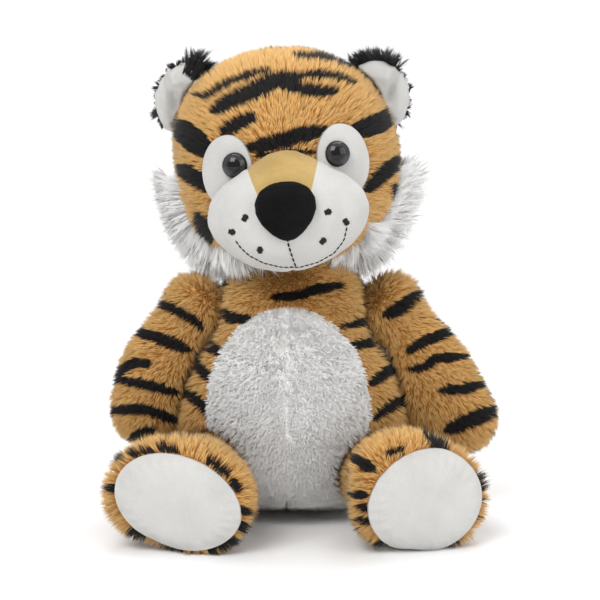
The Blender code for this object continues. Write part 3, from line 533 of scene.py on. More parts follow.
FOOT_STRIPES = {
    Side.RIGHT: stripes(
        (10, (156, 443), (166, 446), (178, 450)),
        (8, (126, 452), (140, 449), (152, 449)),
        (8, (112, 462), (116, 457), (122, 454)),
        (9, (104, 488), (112, 487), (118, 486)),
        (10, (126, 533), (134, 536), (144, 541)),
        (11, (208, 457), (220, 464), (230, 474)),
        (9, (232, 478), (238, 485), (242, 492)),
        (9, (238, 508), (246, 511), (254, 513)),
        (11, (238, 524), (246, 528), (252, 532)),
        (11, (208, 550), (222, 547), (238, 541)),
        (7, (160, 546), (176, 548), (196, 550)),
    ),
    Side.LEFT: stripes(
        (13, (424, 430), (436, 439), (450, 450)),
        (12, (352, 456), (362, 463), (374, 470)),
        (7, (386, 452), (396, 450), (404, 447)),
        (9, (350, 494), (359, 495), (367, 495)),
        (9, (356, 506), (364, 509), (370, 514)),
        (8, (354, 520), (362, 521), (370, 524)),
        (9, (374, 545), (384, 546), (396, 549)),
        (10, (478, 470), (484, 479), (490, 490)),
        (8, (474, 502), (481, 501), (488, 500)),
        (9, (468, 517), (476, 518), (482, 517)),
        (9, (438, 549), (450, 545), (462, 540)),
    ),
}


@dataclass(frozen=True)
class Bands:
    """Stripes where the front view doesn't reach: wavering rings along an axis, broken in places."""

    origin: Vector
    axis: Vector
    spacing: float
    width: float
    waver: float = 0.35
    seed: float = 0.0
    waver_scale: float = 0.55
    gap_scale: float = 0.9
    whole: float = 1.15
    broken: float = 2.2
    widest: float = 1.5

    def _along(self, points: np.ndarray) -> np.ndarray:
        """How far points are along the bands' axis."""
        return (points - np.array(self.origin)) @ np.array(self.axis.normalized())

    def dark(self, points: np.ndarray) -> np.ndarray:
        """Which points lie in a band."""
        along = self._along(points)
        scale = 1 / self.spacing
        waver_at, gap_at = Vector((0, 0, self.seed)), Vector((self.seed, 9, 4))
        waver = np.array([noise.noise(Vector(p) * scale * self.waver_scale + waver_at) for p in points])
        gap = np.array([noise.noise(Vector(p) * scale * self.gap_scale + gap_at) for p in points])
        phase = along / self.spacing + waver * self.waver * 2
        off = np.abs(phase - np.round(phase)) * self.spacing
        return off < self.width / 2 * np.clip(self.whole + gap * self.broken, 0, self.widest)


@dataclass(frozen=True)
class EarToEar(Bands):
    """Bands that run over a head from ear to ear, which is the way of their axis."""

    radius: float = 72 * MM

    def _along(self, points: np.ndarray) -> np.ndarray:
        """How far round the axis points are, measured on the head's radius."""
        axis = self.axis.normalized()
        up = (Vector((0, 0, 1)) - axis * axis.z).normalized()
        back = axis.cross(up)
        away = points - np.array(self.origin)
        return np.arctan2(away @ np.array(back), away @ np.array(up)) * self.radius


def unit(rows: np.ndarray) -> np.ndarray:
    """Vectors, one to a row, at a length of 1."""
    return rows / np.maximum(np.linalg.norm(rows, axis=-1, keepdims=True), TINY)


def linked(name: str, data: bpy.types.ID) -> bpy.types.Object:
    """A new object in the scene."""
    made = bpy.data.objects.new(name, data)
    bpy.context.collection.objects.link(made)
    return made


def joined(pieces: Iterable[bpy.types.Object]) -> bmesh.types.BMesh:
    """The meshes of pieces as one bmesh."""
    bm = bmesh.new()
    for piece in pieces:
        bm.from_mesh(piece.data)
    return bm


def unpacked(bm: bmesh.types.BMesh, name: str) -> bpy.types.Object:
    """A new piece from a bmesh, which is freed."""
    mesh = bpy.data.meshes.new(name)
    bm.to_mesh(mesh)
    bm.free()
    return linked(name, mesh)


def tree_over(*pieces: bpy.types.Object) -> BVHTree:
    """A tree that finds the nearest places on pieces."""
    bm = joined(pieces)
    made = BVHTree.FromBMesh(bm)
    bm.free()
    return made


def node_tree(*nodes: str) -> BVHTree:
    """A tree over CAD nodes."""
    return tree_over(*(frame["nodes"][node] for node in nodes))


def deselected() -> None:
    """Leaves nothing selected."""
    bpy.ops.object.select_all(action="DESELECT")


def active(piece: bpy.types.Object) -> None:
    """Makes a piece the only one selected, and the active one."""
    deselected()
    piece.select_set(True)
    bpy.context.view_layer.objects.active = piece


def applied(piece: bpy.types.Object, kind: str, **settings: object) -> None:
    """Adds a modifier to a piece and applies it.

    Args:
        piece: The piece.
        kind: The modifier's type.
        settings: The modifier's settings.
    """
    active(piece)
    modifier = piece.modifiers.new(kind.lower(), kind)
    for name, value in settings.items():
        setattr(modifier, name, value)
    bpy.ops.object.modifier_apply(modifier=modifier.name)


def is_inside(tree: BVHTree, point: Vector, margin: float) -> bool:
    """Whether a point is inside a closed form, and deeper than a margin.

    Args:
        tree: A tree over the form.
        point: The point.
        margin: The depth.

    Returns:
        True where it is.
    """
    way = Vector((0.29, 0.17, 0.94)).normalized()
    crossings, start = 0, point
    while True:
        place = tree.ray_cast(start, way)[0]
        if place is None:
            break
        crossings += 1
        start = place + way * 0.002 * MM
    return crossings % 2 == 1 and tree.find_nearest(point)[3] > margin


def stuffed_form(
    name: str, nodes: Sequence[str], voxel: float, shrink: float, smooth: int
) -> bpy.types.Object:
    """One closed smooth form made from CAD solids that fit together.

    Args:
        name: The piece's name.
        nodes: The CAD nodes that fill the form.
        voxel: The size of the cells that it is remade from.
        shrink: How far its surface is drawn in.
        smooth: How many times it is smoothed.

    Returns:
        The piece.
    """
    bm = joined(frame["nodes"][node] for node in nodes)
    bmesh.ops.remove_doubles(bm, verts=bm.verts, dist=0.001 * MM)
    piece = unpacked(bm, name)
    applied(piece, "REMESH", mode="VOXEL", voxel_size=voxel)
    keep_largest(piece)
    applied(piece, "SMOOTH", factor=0.5, iterations=smooth)
    if shrink:
        grown(piece, -shrink)
        applied(piece, "SMOOTH", factor=0.5, iterations=4)
    smooth_shaded(piece)
    return pulled(piece)


def keep_largest(piece: bpy.types.Object) -> None:
    """Drops all of a mesh's islands but the largest, such as the walls of spaces inside."""
    bm = joined([piece])
    left = set(bm.verts)
    islands = []
    while left:
        start = left.pop()
        island, edge = [start], [start]
        while edge:
            vert = edge.pop()
            for link in vert.link_edges:
                other = link.other_vert(vert)
                if other in left:
                    left.discard(other)
                    island.append(other)
                    edge.append(other)
        islands.append(island)
    islands.sort(key=len)
    for island in islands[:-1]:
        bmesh.ops.delete(bm, geom=island, context="VERTS")
    bm.to_mesh(piece.data)
    bm.free()


def smooth_shaded(piece: bpy.types.Object) -> None:
    """Shades a piece smooth."""
    active(piece)
    bpy.ops.object.shade_smooth()


def smooth_to_rims(piece: bpy.types.Object, degrees: float) -> None:
    """Shades a piece smooth, but for edges that are sharper than an angle."""
    active(piece)
    bpy.ops.object.shade_smooth_by_angle(angle=math.radians(degrees))


def dressed(
    piece: bpy.types.Object, material: bpy.types.Material, body: str
) -> bpy.types.Object:
    """Gives a piece its material and the body that it rides on, and reports it.

    Args:
        piece: The piece.
        material: Its material.
        body: The CAD body that it moves with.

    Returns:
        The piece.
    """
    piece.data.materials.clear()
    piece.data.materials.append(material)
    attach(piece, body)
    log.info("%s: %d faces on %s", piece.name, len(piece.data.polygons), body)
    return piece


def oval_bar(
    name: str, centre: Vector, way: Vector, wide: Vector, radii: tuple, depths: tuple
) -> bpy.types.Object:
    """An oval bar along a way, to mark out a patch of a form.

    Args:
        name: The bar's name.
        centre: A point on its axis.
        way: The way that it runs.
        wide: The way that its first radius lies.
        radii: Its two radii.
        depths: How far it reaches behind and ahead of the centre.

    Returns:
        The bar.
    """
    deselected()
    behind, ahead = depths
    bpy.ops.mesh.primitive_cylinder_add(vertices=72, radius=1.0, depth=1.0)
    bar = bpy.context.active_object
    bar.name = name
    way = way.normalized()
    wide = (wide - way * wide.dot(way)).normalized()
    facing = Matrix((wide, way.cross(wide), way)).transposed().to_4x4()
    middle = centre + way * (ahead - behind) / 2
    size = Matrix.Diagonal((*radii, behind + ahead, 1))
    bar.data.transform(Matrix.Translation(middle) @ facing @ size)
    return bar


def cut_with(piece: bpy.types.Object, tool: bpy.types.Object, operation: str) -> None:
    """Meets or cuts a piece with a tool, which is then removed."""
    applied(piece, "BOOLEAN", operation=operation, object=tool, solver="EXACT")
    bpy.data.objects.remove(tool)


def copied(piece: bpy.types.Object, name: str) -> bpy.types.Object:
    """A copy of a piece with its own mesh."""
    twin = piece.copy()
    twin.data = piece.data.copy()
    twin.name = twin.data.name = name
    bpy.context.collection.objects.link(twin)
    return twin


def grown(piece: bpy.types.Object, distance: float) -> None:
    """Moves a piece's surface out."""
    applied(piece, "DISPLACE", strength=distance, mid_level=0.0)


def points_of(piece: bpy.types.Object, kind: str = "co") -> np.ndarray:
    """A piece's points, or their normals, one to a row."""
    values = np.empty(len(piece.data.vertices) * 3)
    piece.data.vertices.foreach_get(kind, values)
    return values.reshape(-1, 3)


def placed(piece: bpy.types.Object, places: np.ndarray) -> None:
    """Puts a piece's points at new places."""
    piece.data.vertices.foreach_set("co", places.astype(np.float32).ravel())
    piece.data.update()


def noted(piece: bpy.types.Object, name: str, values: Sequence[float]) -> None:
    """Keeps a number on each of a piece's points, for its material to read."""
    attribute = piece.data.attributes.new(name, "FLOAT", "POINT")
    attribute.data.foreach_set("value", values)


@dataclass(frozen=True)
class Pull:
    """A soft move of part of a form, in millimetres: full at its middle, and none past its reach."""

    middle: tuple
    reach: tuple
    move: tuple

    def apply(self, form: bpy.types.Object) -> None:
        """Moves the form's points."""
        middle, reach, move = (np.array(values) * MM for values in (self.middle, self.reach, self.move))
        places = points_of(form)
        off = (((places - middle) / reach) ** 2).sum(1)
        placed(form, places + (np.clip(1 - off, 0, 1) ** 2)[:, None] * move)


PULLS = {
    "head_backing": (
        Pull((-74, 0, 214), (30, 70, 50), (2.8, 0, 0)),
        Pull((64, 0, 214), (30, 70, 55), (3.2, 0, 0)),
    ),
    "muzzle_form": (
        Pull((-6, -70, 234), (33, 30, 20), (0, 1.5, 6.5)),
        Pull((-47, -72, 201), (26, 40, 34), (-2.0, 0, 0)),
        Pull((41, -74, 203), (28, 40, 36), (3.4, 0, 0)),
        Pull((-4, -80, 174), (42, 40, 20), (0, 0, -1.8)),
    ),
    "arm_backing_left": (
        Pull((115, -22, 52), (45, 60, 42), (7.0, 0, -1.5)),
        Pull((112, -15, 95), (40, 60, 60), (4.5, 0, 0)),
        Pull((68, 0, 140), (36, 42, 34), (2, 0, 6)),
    ),
    "arm_backing_right": (
        Pull((-114, -20, 68), (34, 60, 50), (3.2, 0, 0)),
        Pull((-68, 0, 140), (36, 42, 34), (-2, 0, 6)),
    ),
    "torso_backing": (
        Pull((66, -15, 75), (32, 48, 52), (4.0, -1, 0)),
        Pull((-66, -15, 75), (32, 48, 52), (-4.0, -1, 0)),
        Pull((70, -12, 54), (30, 48, 32), (4.5, 0, 0)),
        Pull((-70, -12, 54), (30, 48, 32), (-5.5, 0, 0)),
    ),
    "leg_backing_left": (
        Pull((78, -100, 32), (85, 90, 85), (2.5, 0, -2.6)),
        Pull((46, -106, 14), (34, 50, 30), (-6, 0, -5)),
        Pull((114, -100, 46), (30, 60, 34), (3.5, 0, 0)),
    ),
    "leg_backing_right": (
        Pull((-42, -106, 14), (34, 50, 30), (4, 0, -4)),
        Pull((-94, -106, 14), (30, 50, 28), (-2, 0, -6)),
    ),
    "ear_cloth_left": (Pull((66, 2, 254), (30, 22, 22), (0, 0, -4.5)),),
    "ear_cloth_right": (
        Pull((-78, 2, 250), (28, 22, 20), (0, 0, -3.5)),
        Pull((-72, 2, 286), (24, 22, 18), (0, 0, 1.5)),
    ),
    "ruff_backing_left": (Pull((74, 2, 242), (26, 26, 30), (-3, 0, -16)),),
    "ruff_backing_right": (Pull((-84, 2, 228), (26, 26, 24), (2, 0, -7)),),
}


def pulled(form: bpy.types.Object) -> bpy.types.Object:
    """A form after the pulls that are listed under its name."""
    for pull in PULLS.get(form.name, ()):
        pull.apply(form)
    places = points_of(form)
    placed(form, np.maximum(places, np.array((-1.0, -1.0, FLOOR_CLEAR))))
    return form


@dataclass(frozen=True)
class Filling:
    """Filling that swells a sewn cloth between the places where it is held, as a cloth simulation."""

    voxel: float = 2.4 * MM
    pressure: float = 4.0
    mass: float = 0.01
    frames: int = 20
    cap: float = 1.6 * MM
    levels: int = 1

    def swell(self, piece: bpy.types.Object, held: Callable[[Vector], bool]) -> None:
        """Remakes a closed piece in even cells, swells it without gravity, and rounds the result.

        Args:
            piece: The piece.
            held: Whether a point of the cloth stays where it is. No other point moves further than the cap.
        """
        applied(piece, "REMESH", mode="VOXEL", voxel_size=self.voxel)
        keep_largest(piece)
        start = points_of(piece)
        self._simulate(piece, start, held)
        applied(piece, "SUBSURF", levels=self.levels, render_levels=self.levels)

    def _simulate(self, piece: bpy.types.Object, start: np.ndarray, held: Callable[[Vector], bool]) -> None:
        """Runs the cloth simulation, and moves the piece's points to where it ends."""
        group = piece.vertex_groups.new(name="held")
        group.add([vert.index for vert in piece.data.vertices if held(vert.co)], 1.0, "REPLACE")
        active(piece)
        cloth = piece.modifiers.new("cloth", "CLOTH")
        cloth.settings.use_pressure = True
        cloth.settings.uniform_pressure_force = self.pressure
        cloth.settings.mass = self.mass
        cloth.settings.effector_weights.gravity = 0.0
        cloth.settings.vertex_group_mass = group.name
        cloth.point_cache.frame_end = self.frames
        scene = bpy.context.scene
        for step in range(scene.frame_start, self.frames + 1):
            scene.frame_set(step)
        swollen = points_of(piece.evaluated_get(bpy.context.evaluated_depsgraph_get()))
        move = swollen - start
        length = np.maximum(np.linalg.norm(move, axis=1), TINY)
        piece.modifiers.remove(cloth)
        placed(piece, start + move * np.minimum(1, self.cap / length)[:, None])
        scene.frame_set(scene.frame_start)
        log.info("%s: swollen by up to %.2f mm", piece.name, min(length.max(), self.cap) / MM)
        piece.vertex_groups.clear()


@dataclass
class Roots:
    """Where strands grow: places and the surface's directions there, so many to a square metre."""

    places: np.ndarray
    normals: np.ndarray
    density: float

    def kept(self, mask: np.ndarray) -> "Roots":
        """The roots that a mask keeps."""
        return Roots(self.places[mask], self.normals[mask], self.density)

    def near_share(self, tree: BVHTree, reach: float, least: float) -> np.ndarray:
        """A share for each root that falls to its least where the root meets another form."""
        gaps = np.array([tree.find_nearest(Vector(place))[3] for place in self.places])
        return least + (1 - least) * np.clip(gaps / reach, 0, 1)

    @staticmethod
    def scattered(piece: bpy.types.Object, density: float, seed: int) -> "Roots":
        """Roots spread evenly over a piece.

        Args:
            piece: The piece.
            density: How many roots to a square metre.
            seed: What the scatter starts from.

        Returns:
            The roots.
        """
        rng = np.random.default_rng(seed)
        mesh = piece.data
        mesh.calc_loop_triangles()
        count = len(mesh.loop_triangles)
        corners = np.empty(count * 3, np.int32)
        mesh.loop_triangles.foreach_get("vertices", corners)
        corners = corners.reshape(-1, 3)
        spots, upright = points_of(piece), points_of(piece, "normal")
        a, b, c = (spots[corners[:, k]] for k in range(3))
        areas = np.linalg.norm(np.cross(b - a, c - a), axis=1) / 2
        total = int(areas.sum() * density)
        chosen = rng.choice(count, total, p=areas / areas.sum())
        u, v = rng.random(total), rng.random(total)
        flip = u + v > 1
        u[flip], v[flip] = 1 - u[flip], 1 - v[flip]
        weights = np.column_stack([1 - u - v, u, v])
        places = sum(spots[corners[chosen, k]] * weights[:, k, None] for k in range(3))
        normals = sum(upright[corners[chosen, k]] * weights[:, k, None] for k in range(3))
        return Roots(places, unit(normals), density)

    def clear_of(self, trees: Sequence[BVHTree], margin: float) -> "Roots":
        """The roots that aren't inside other forms.

        Args:
            trees: Trees over the other forms.
            margin: How deep inside a root may be.

        Returns:
            The roots that are left.
        """
        inside = [any(is_inside(tree, Vector(place), margin) for tree in trees) for place in self.places]
        return self.kept(~np.array(inside, bool))

    def nearest(self, trees: Sequence[BVHTree]) -> np.ndarray:
        """Which of several trees each root is nearest to."""
        found = np.zeros(len(self.places), int)
        for index, place in enumerate(self.places):
            point = Vector(place)
            found[index] = int(np.argmin([tree.find_nearest(point)[3] for tree in trees]))
        return found


Paint = Callable[[Roots], np.ndarray]
Flow = Callable[[Roots], np.ndarray]
Share = Callable[[Roots], np.ndarray]


@dataclass
class Pile:
    """Pile of one length, combed one way and gathered in tufts."""

    length: float = 5.3 * MM
    width: float = 0.58 * MM
    lift: float = 0.8
    comb: float = 0.6
    tuft: float = 2.4 * MM
    gather: float = 0.28
    stray: float = 0.18
    swirl: float = 0.38
    swirl_scale: float = 95.0
    curl: float = 0.3
    rings: int = 1
    vary: float = 0.2
    sink: float = 0.8 * MM
    soft_light: float = 0.62
    lit_way: Vector | None = None
    lit_mix: tuple = (0.45, 0.55)
    seen_at: float = 0.7
    free: bool = False
    size_limits: tuple = (0.45, 1.6)
    reach_vary: float = 0.18
    reach_limits: tuple = (0.6, 1.4)
    own_share: float = 0.4
    tuft_share: float = 0.6
    taper: float = 0.55
    taper_power: float = 1.5

    def grow(
        self, name: str, roots: Roots, paint: Paint, flow: np.ndarray, seed: int,
        share: np.ndarray | None = None,
    ) -> bpy.types.Object:
        """Grows the strands as one mesh.

        Args:
            name: The piece's name.
            roots: Where the strands grow.
            paint: Gives each strand its coat's number from the place where it shows.
            flow: The way that each strand is combed.
            seed: What the strands' differences start from.
            share: Each strand's share of the full length, if they differ by place.

        Returns:
            The piece.
        """
        rng = np.random.default_rng(seed)
        count = len(roots.places)
        up = roots.normals
        share = np.ones(count) if share is None else share
        size = self.length * share * (1 + self.vary * rng.normal(size=count)).clip(*self.size_limits)
        side = unit(flow if self.free else flow - up * (flow * up).sum(1)[:, None])
        chosen = rng.random(count) < 1 / (roots.density * self.tuft**2)
        chosen[0] = True
        middle = np.flatnonzero(chosen)
        tree = KDTree(len(middle))
        for order, index in enumerate(middle):
            tree.insert(Vector(roots.places[index]), order)
        tree.balance()
        own = np.array([tree.find(Vector(place))[1] for place in roots.places])
        heads = roots.places[middle]
        swirl = np.array([noise.noise_vector(Vector(place) * self.swirl_scale) for place in heads])
        lean = side[middle] * self.comb + swirl * self.swirl + rng.normal(size=(len(middle), 3)) * self.stray
        tuft_way = unit(up[middle] * self.lift + lean)
        varied = (1 + self.reach_vary * rng.normal(size=len(middle))).clip(*self.reach_limits)
        tuft_tips = heads + tuft_way * (self.length * share[middle] * varied)[:, None]
        own_way = up * self.lift + side * self.comb + rng.normal(size=(count, 3)) * self.stray
        own_way = unit(own_way * self.own_share + tuft_way[own] * self.tuft_share)
        base = roots.places - up * self.sink
        free_tips = roots.places + own_way * size[:, None]
        pull = (self.gather * (0.55 + 0.45 * rng.random(count)))[:, None]
        tips = free_tips * (1 - pull) + tuft_tips[own] * pull
        tips[:, 2] = np.maximum(tips[:, 2], FLOOR_CLEAR)
        bow = up * (size * self.curl)[:, None] * (0.5 + rng.random(count))[:, None] * 0.5
        seen = Roots(base + (tips - base) * self.seen_at, up, roots.density)
        return self._mesh(name, base, tips, bow, up, paint(seen), rng)

    def _mesh(
        self, name: str, base: np.ndarray, tips: np.ndarray, bow: np.ndarray, up: np.ndarray,
        coats: np.ndarray, rng: np.random.Generator,
    ) -> bpy.types.Object:
        """Makes three-sided tapering strands from their ends.

        Args:
            name: The piece's name.
            base: Where each strand starts.
            tips: Where each ends.
            bow: How far its middle bows out.
            up: The surface's direction at its root.
            coats: Its coat's number.
            rng: The source of its tint and turn.

        Returns:
            The piece.
        """
        count = len(base)
        way = unit(tips - base)
        helper = np.where(np.abs(way[:, 2:3]) < 0.9, [[0.0, 0.0, 1.0]], [[1.0, 0.0, 0.0]])
        first = unit(np.cross(way, helper))
        second = np.cross(way, first)
        turn = rng.random(count) * 2 * math.pi
        rings = []
        directions = []
        for ring in range(self.rings):
            share = ring / self.rings
            middle = base + (tips - base) * share + bow * 4 * share * (1 - share)
            radius = self.width / 2 * (1 - self.taper * share**self.taper_power)
            for corner in range(3):
                angle = turn + corner * 2 * math.pi / 3
                outward = first * np.cos(angle)[:, None] + second * np.sin(angle)[:, None]
                rings.append(middle + outward * radius)
                directions.append(outward)
        rings.append(tips)
        directions.append(way)
        points = np.stack(rings, 1)
        if self.lit_way is not None:
            turned = np.where(up[:, 1:2] > 0.3, (1, -1, 1), (1, 1, 1))
            up = up * self.lit_mix[0] + np.array(self.lit_way) * turned * self.lit_mix[1]
        normals = unit(np.stack(directions, 1) * (1 - self.soft_light) + up[:, None, :] * self.soft_light)
        faces, lift = self._strand_faces()
        per = points.shape[1]
        sizes = np.array([len(face) for face in faces])
        loops = np.concatenate([np.array(face) for face in faces])
        all_loops = (loops[None, :] + (np.arange(count) * per)[:, None]).ravel()
        totals = np.tile(sizes, count)
        starts = np.concatenate([[0], np.cumsum(totals)[:-1]])
        mesh = bpy.data.meshes.new(name)
        mesh.vertices.add(count * per)
        mesh.vertices.foreach_set("co", points.astype(np.float32).ravel())
        mesh.loops.add(len(all_loops))
        mesh.loops.foreach_set("vertex_index", all_loops.astype(np.int32))
        mesh.polygons.add(len(totals))
        mesh.polygons.foreach_set("loop_start", starts.astype(np.int32))
        mesh.update(calc_edges=True)
        mesh.validate()
        tints = rng.integers(0, TINTS, count)
        cells = coats * TINTS + tints
        wide = 1 / (TINTS * len(Coat))
        across = (cells[:, None] + lift[None, :, 0]) * wide
        # along: each corner's place from root to tip, which sets how much painted shade the pile's colour carries
        # near the root
        along = np.tile(lift[None, :, 1], (count, 1))
        palette = mesh.uv_layers.new(name=PALETTE)
        palette.data.foreach_set("uv", np.stack([across, along], 2).astype(np.float32).ravel())
        mesh.polygons.foreach_set("use_smooth", np.ones(len(totals), bool))
        mesh.normals_split_custom_set_from_vertices(normals.reshape(-1, 3).tolist())
        return linked(name, mesh)

    def _strand_faces(self) -> tuple[list, np.ndarray]:
        """A strand's faces, and each face corner's place in its palette cell."""
        faces = [(2, 1, 0)]
        for ring in range(self.rings - 1):
            low, high = ring * 3, ring * 3 + 3
            for corner in range(3):
                after = (corner + 1) % 3
                faces.append((low + corner, low + after, high + after, high + corner))
        top, tip = (self.rings - 1) * 3, self.rings * 3
        for corner in range(3):
            faces.append((top + corner, top + (corner + 1) % 3, tip))
        spots = {}
        for index in range(tip):
            spots[index] = (0.12 + 0.38 * (index % 3), 0.03 + 0.94 * (index // 3) / self.rings)
        spots[tip] = (0.5, 0.97)
        return faces, np.array([spots[index] for face in faces for index in face])


def edge_noise(points: np.ndarray, scale: float = 260.0, depth: float = 1.3) -> np.ndarray:
    """Noise that makes a stripe's edge ragged."""
    return np.array([noise.noise(Vector(point) * scale) for point in points]) * depth


def front_dark(roots: Roots, drawn: Sequence[Stripe]) -> np.ndarray:
    """Which roots lie in stripes painted on the front view."""
    places = VIEW.drawn(roots.places)
    reach = edge_noise(roots.places)
    inside = np.zeros(len(places), bool)
    for stripe in drawn:
        inside |= stripe.covers(places, reach)
    return inside


def faces_front(roots: Roots, least: float = 0.05) -> np.ndarray:
    """Which roots face the camera."""
    toward = unit(np.array(VIEW.eye()) - roots.places)
    return (toward * roots.normals).sum(1) > least


RUFF_TOPS = {Side.LEFT: 226 * MM, Side.RIGHT: 218 * MM}
RUFF_BACK = 10 * MM
RING_FACING = 0.12
CHEEK_FACING = -0.15
CHEEK_LINES: tuple[Line, ...] = (
    (
        (140, 160), (172, 166), (177, 190), (180, 205), (188, 217), (195, 226), (197, 235), (208, 240), (215, 243),
        (226, 243), (232, 247), (256, 262), (276, 268), (276, 310), (140, 310),
    ),
    (
        (440, 150), (402, 163), (405, 176), (401, 190), (399, 202), (392, 209), (386, 218), (380, 221), (364, 222),
        (360, 240), (346, 256), (330, 266), (330, 310), (440, 310),
    ),
)
RUFF_OUTLINES: dict[Side, Line] = {
    Side.RIGHT: (
        (176, 173), (151, 168), (154, 187), (161, 221), (178, 252), (192, 268), (215, 281), (237, 278), (266, 281),
        (282, 280), (290, 262), (230, 200),
    ),
    Side.LEFT: (
        (400, 164), (426, 153), (428, 172), (425, 197), (418, 213), (409, 236), (409, 251), (400, 267), (391, 275),
        (382, 281), (367, 282), (354, 277), (343, 270), (331, 267), (318, 258), (350, 200),
    ),
}
RUFF_FANS = {Side.LEFT: (350, 222), Side.RIGHT: (217, 198)}


def in_outline(places: np.ndarray, outline: Line) -> np.ndarray:
    """Which flat places lie inside a closed outline."""
    inside = np.zeros(len(places), bool)
    x, y = places[:, 0], places[:, 1]
    for (x1, y1), (x2, y2) in zip(outline, outline[1:] + outline[:1]):
        if y1 == y2:
            continue
        crosses = (y1 > y) != (y2 > y)
        inside ^= crosses & (x < (x2 - x1) * (y - y1) / (y2 - y1) + x1)
    return inside


def way_out(places: np.ndarray, ways: np.ndarray, outline: Line, far: float = 100.0) -> np.ndarray:
    """How far flat places are from a closed outline along their ways, and no more than a far distance."""
    found = np.full(len(places), far)
    for start, end in zip(outline, outline[1:] + outline[:1]):
        edge = np.array(end, float) - np.array(start, float)
        away = np.array(start, float) - places
        cross = ways[:, 0] * edge[1] - ways[:, 1] * edge[0]
        cross = np.where(np.abs(cross) < TINY, TINY, cross)
        along = (away[:, 0] * edge[1] - away[:, 1] * edge[0]) / cross
        share = (away[:, 0] * ways[:, 1] - away[:, 1] * ways[:, 0]) / cross
        met = (along > 0) & (share >= 0) & (share <= 1)
        found = np.where(met & (along < found), along, found)
    return found


def ruff_zone(roots: Roots) -> np.ndarray:
    """Which roots on the head belong to the ruffs: those past the cheek lines, and the ring behind them."""
    places = VIEW.drawn(roots.places)
    inside = in_outline(places, CHEEK_LINES[0]) | in_outline(places, CHEEK_LINES[1])
    tops = np.where(roots.places[:, 0] > HEAD.middle.x, RUFF_TOPS[Side.LEFT], RUFF_TOPS[Side.RIGHT])
    ring = (roots.places[:, 2] < tops) & (roots.places[:, 1] < RUFF_BACK)
    return (inside & faces_front(roots, CHEEK_FACING)) | (ring & ~faces_front(roots, RING_FACING))


def striped(drawn: Sequence[Stripe], bands: Bands) -> Paint:
    """Paint for orange pile with dark stripes, drawn in front and in bands behind."""

    def paint(roots: Roots) -> np.ndarray:
        """Each root's coat."""
        front = faces_front(roots)
        dark = np.where(front, front_dark(roots, drawn), bands.dark(roots.places))
        return np.where(dark, Coat.BLACK.value, Coat.ORANGE.value)

    return paint


def plain(coat: Coat) -> Paint:
    """Paint that gives all the pile one coat."""
    return lambda roots: np.full(len(roots.places), coat.value)


def backing_coat(piece: bpy.types.Object, paint: Paint) -> None:
    """Gives a backing the colours of the pile over it, as numbers on its points."""
    coats = paint(Roots(points_of(piece), points_of(piece, "normal"), 1.0))
    for coat in (Coat.BLACK, Coat.WHITE):
        noted(piece, coat.name.lower(), (coats == coat.value).astype(np.float32))


@dataclass
class Dressing:
    """All the finishes, made once."""

    pile: bpy.types.Material = field(default_factory=PileFinish().made)
    backing: bpy.types.Material = field(default_factory=BackingFinish().made)
    white_velour: bpy.types.Material = field(
        default_factory=lambda: ClothFinish("white_velour", (0.575, 0.57, 0.55), (0.495, 0.49, 0.475)).made()
    )
    tan_velour: bpy.types.Material = field(
        default_factory=lambda: ClothFinish("tan_velour", (0.52, 0.355, 0.13), (0.38, 0.25, 0.08)).made()
    )
    black_velour: bpy.types.Material = field(
        default_factory=lambda: ClothFinish(
            "black_velour", (0.0095, 0.009, 0.009), (0.003, 0.003, 0.003), sheen=0.015, gloss=0.04
        ).made()
    )
    eye: bpy.types.Material = field(default_factory=EyeFinish().made)
    thread: bpy.types.Material = field(default_factory=ThreadFinish().made)


def shoulder_share(
    roots: Roots, extra: float = 0.3, low: float = 126 * MM, rise: float = 18 * MM
) -> np.ndarray:
    """How full an arm's pile is: fuller over the shoulder."""
    return 1 + extra * np.clip((roots.places[:, 2] - low) / rise, 0, 1)


def flow_all(roots: Roots, way: Vector) -> np.ndarray:
    """One combing way for all roots."""
    return np.tile(np.array(way), (len(roots.places), 1))


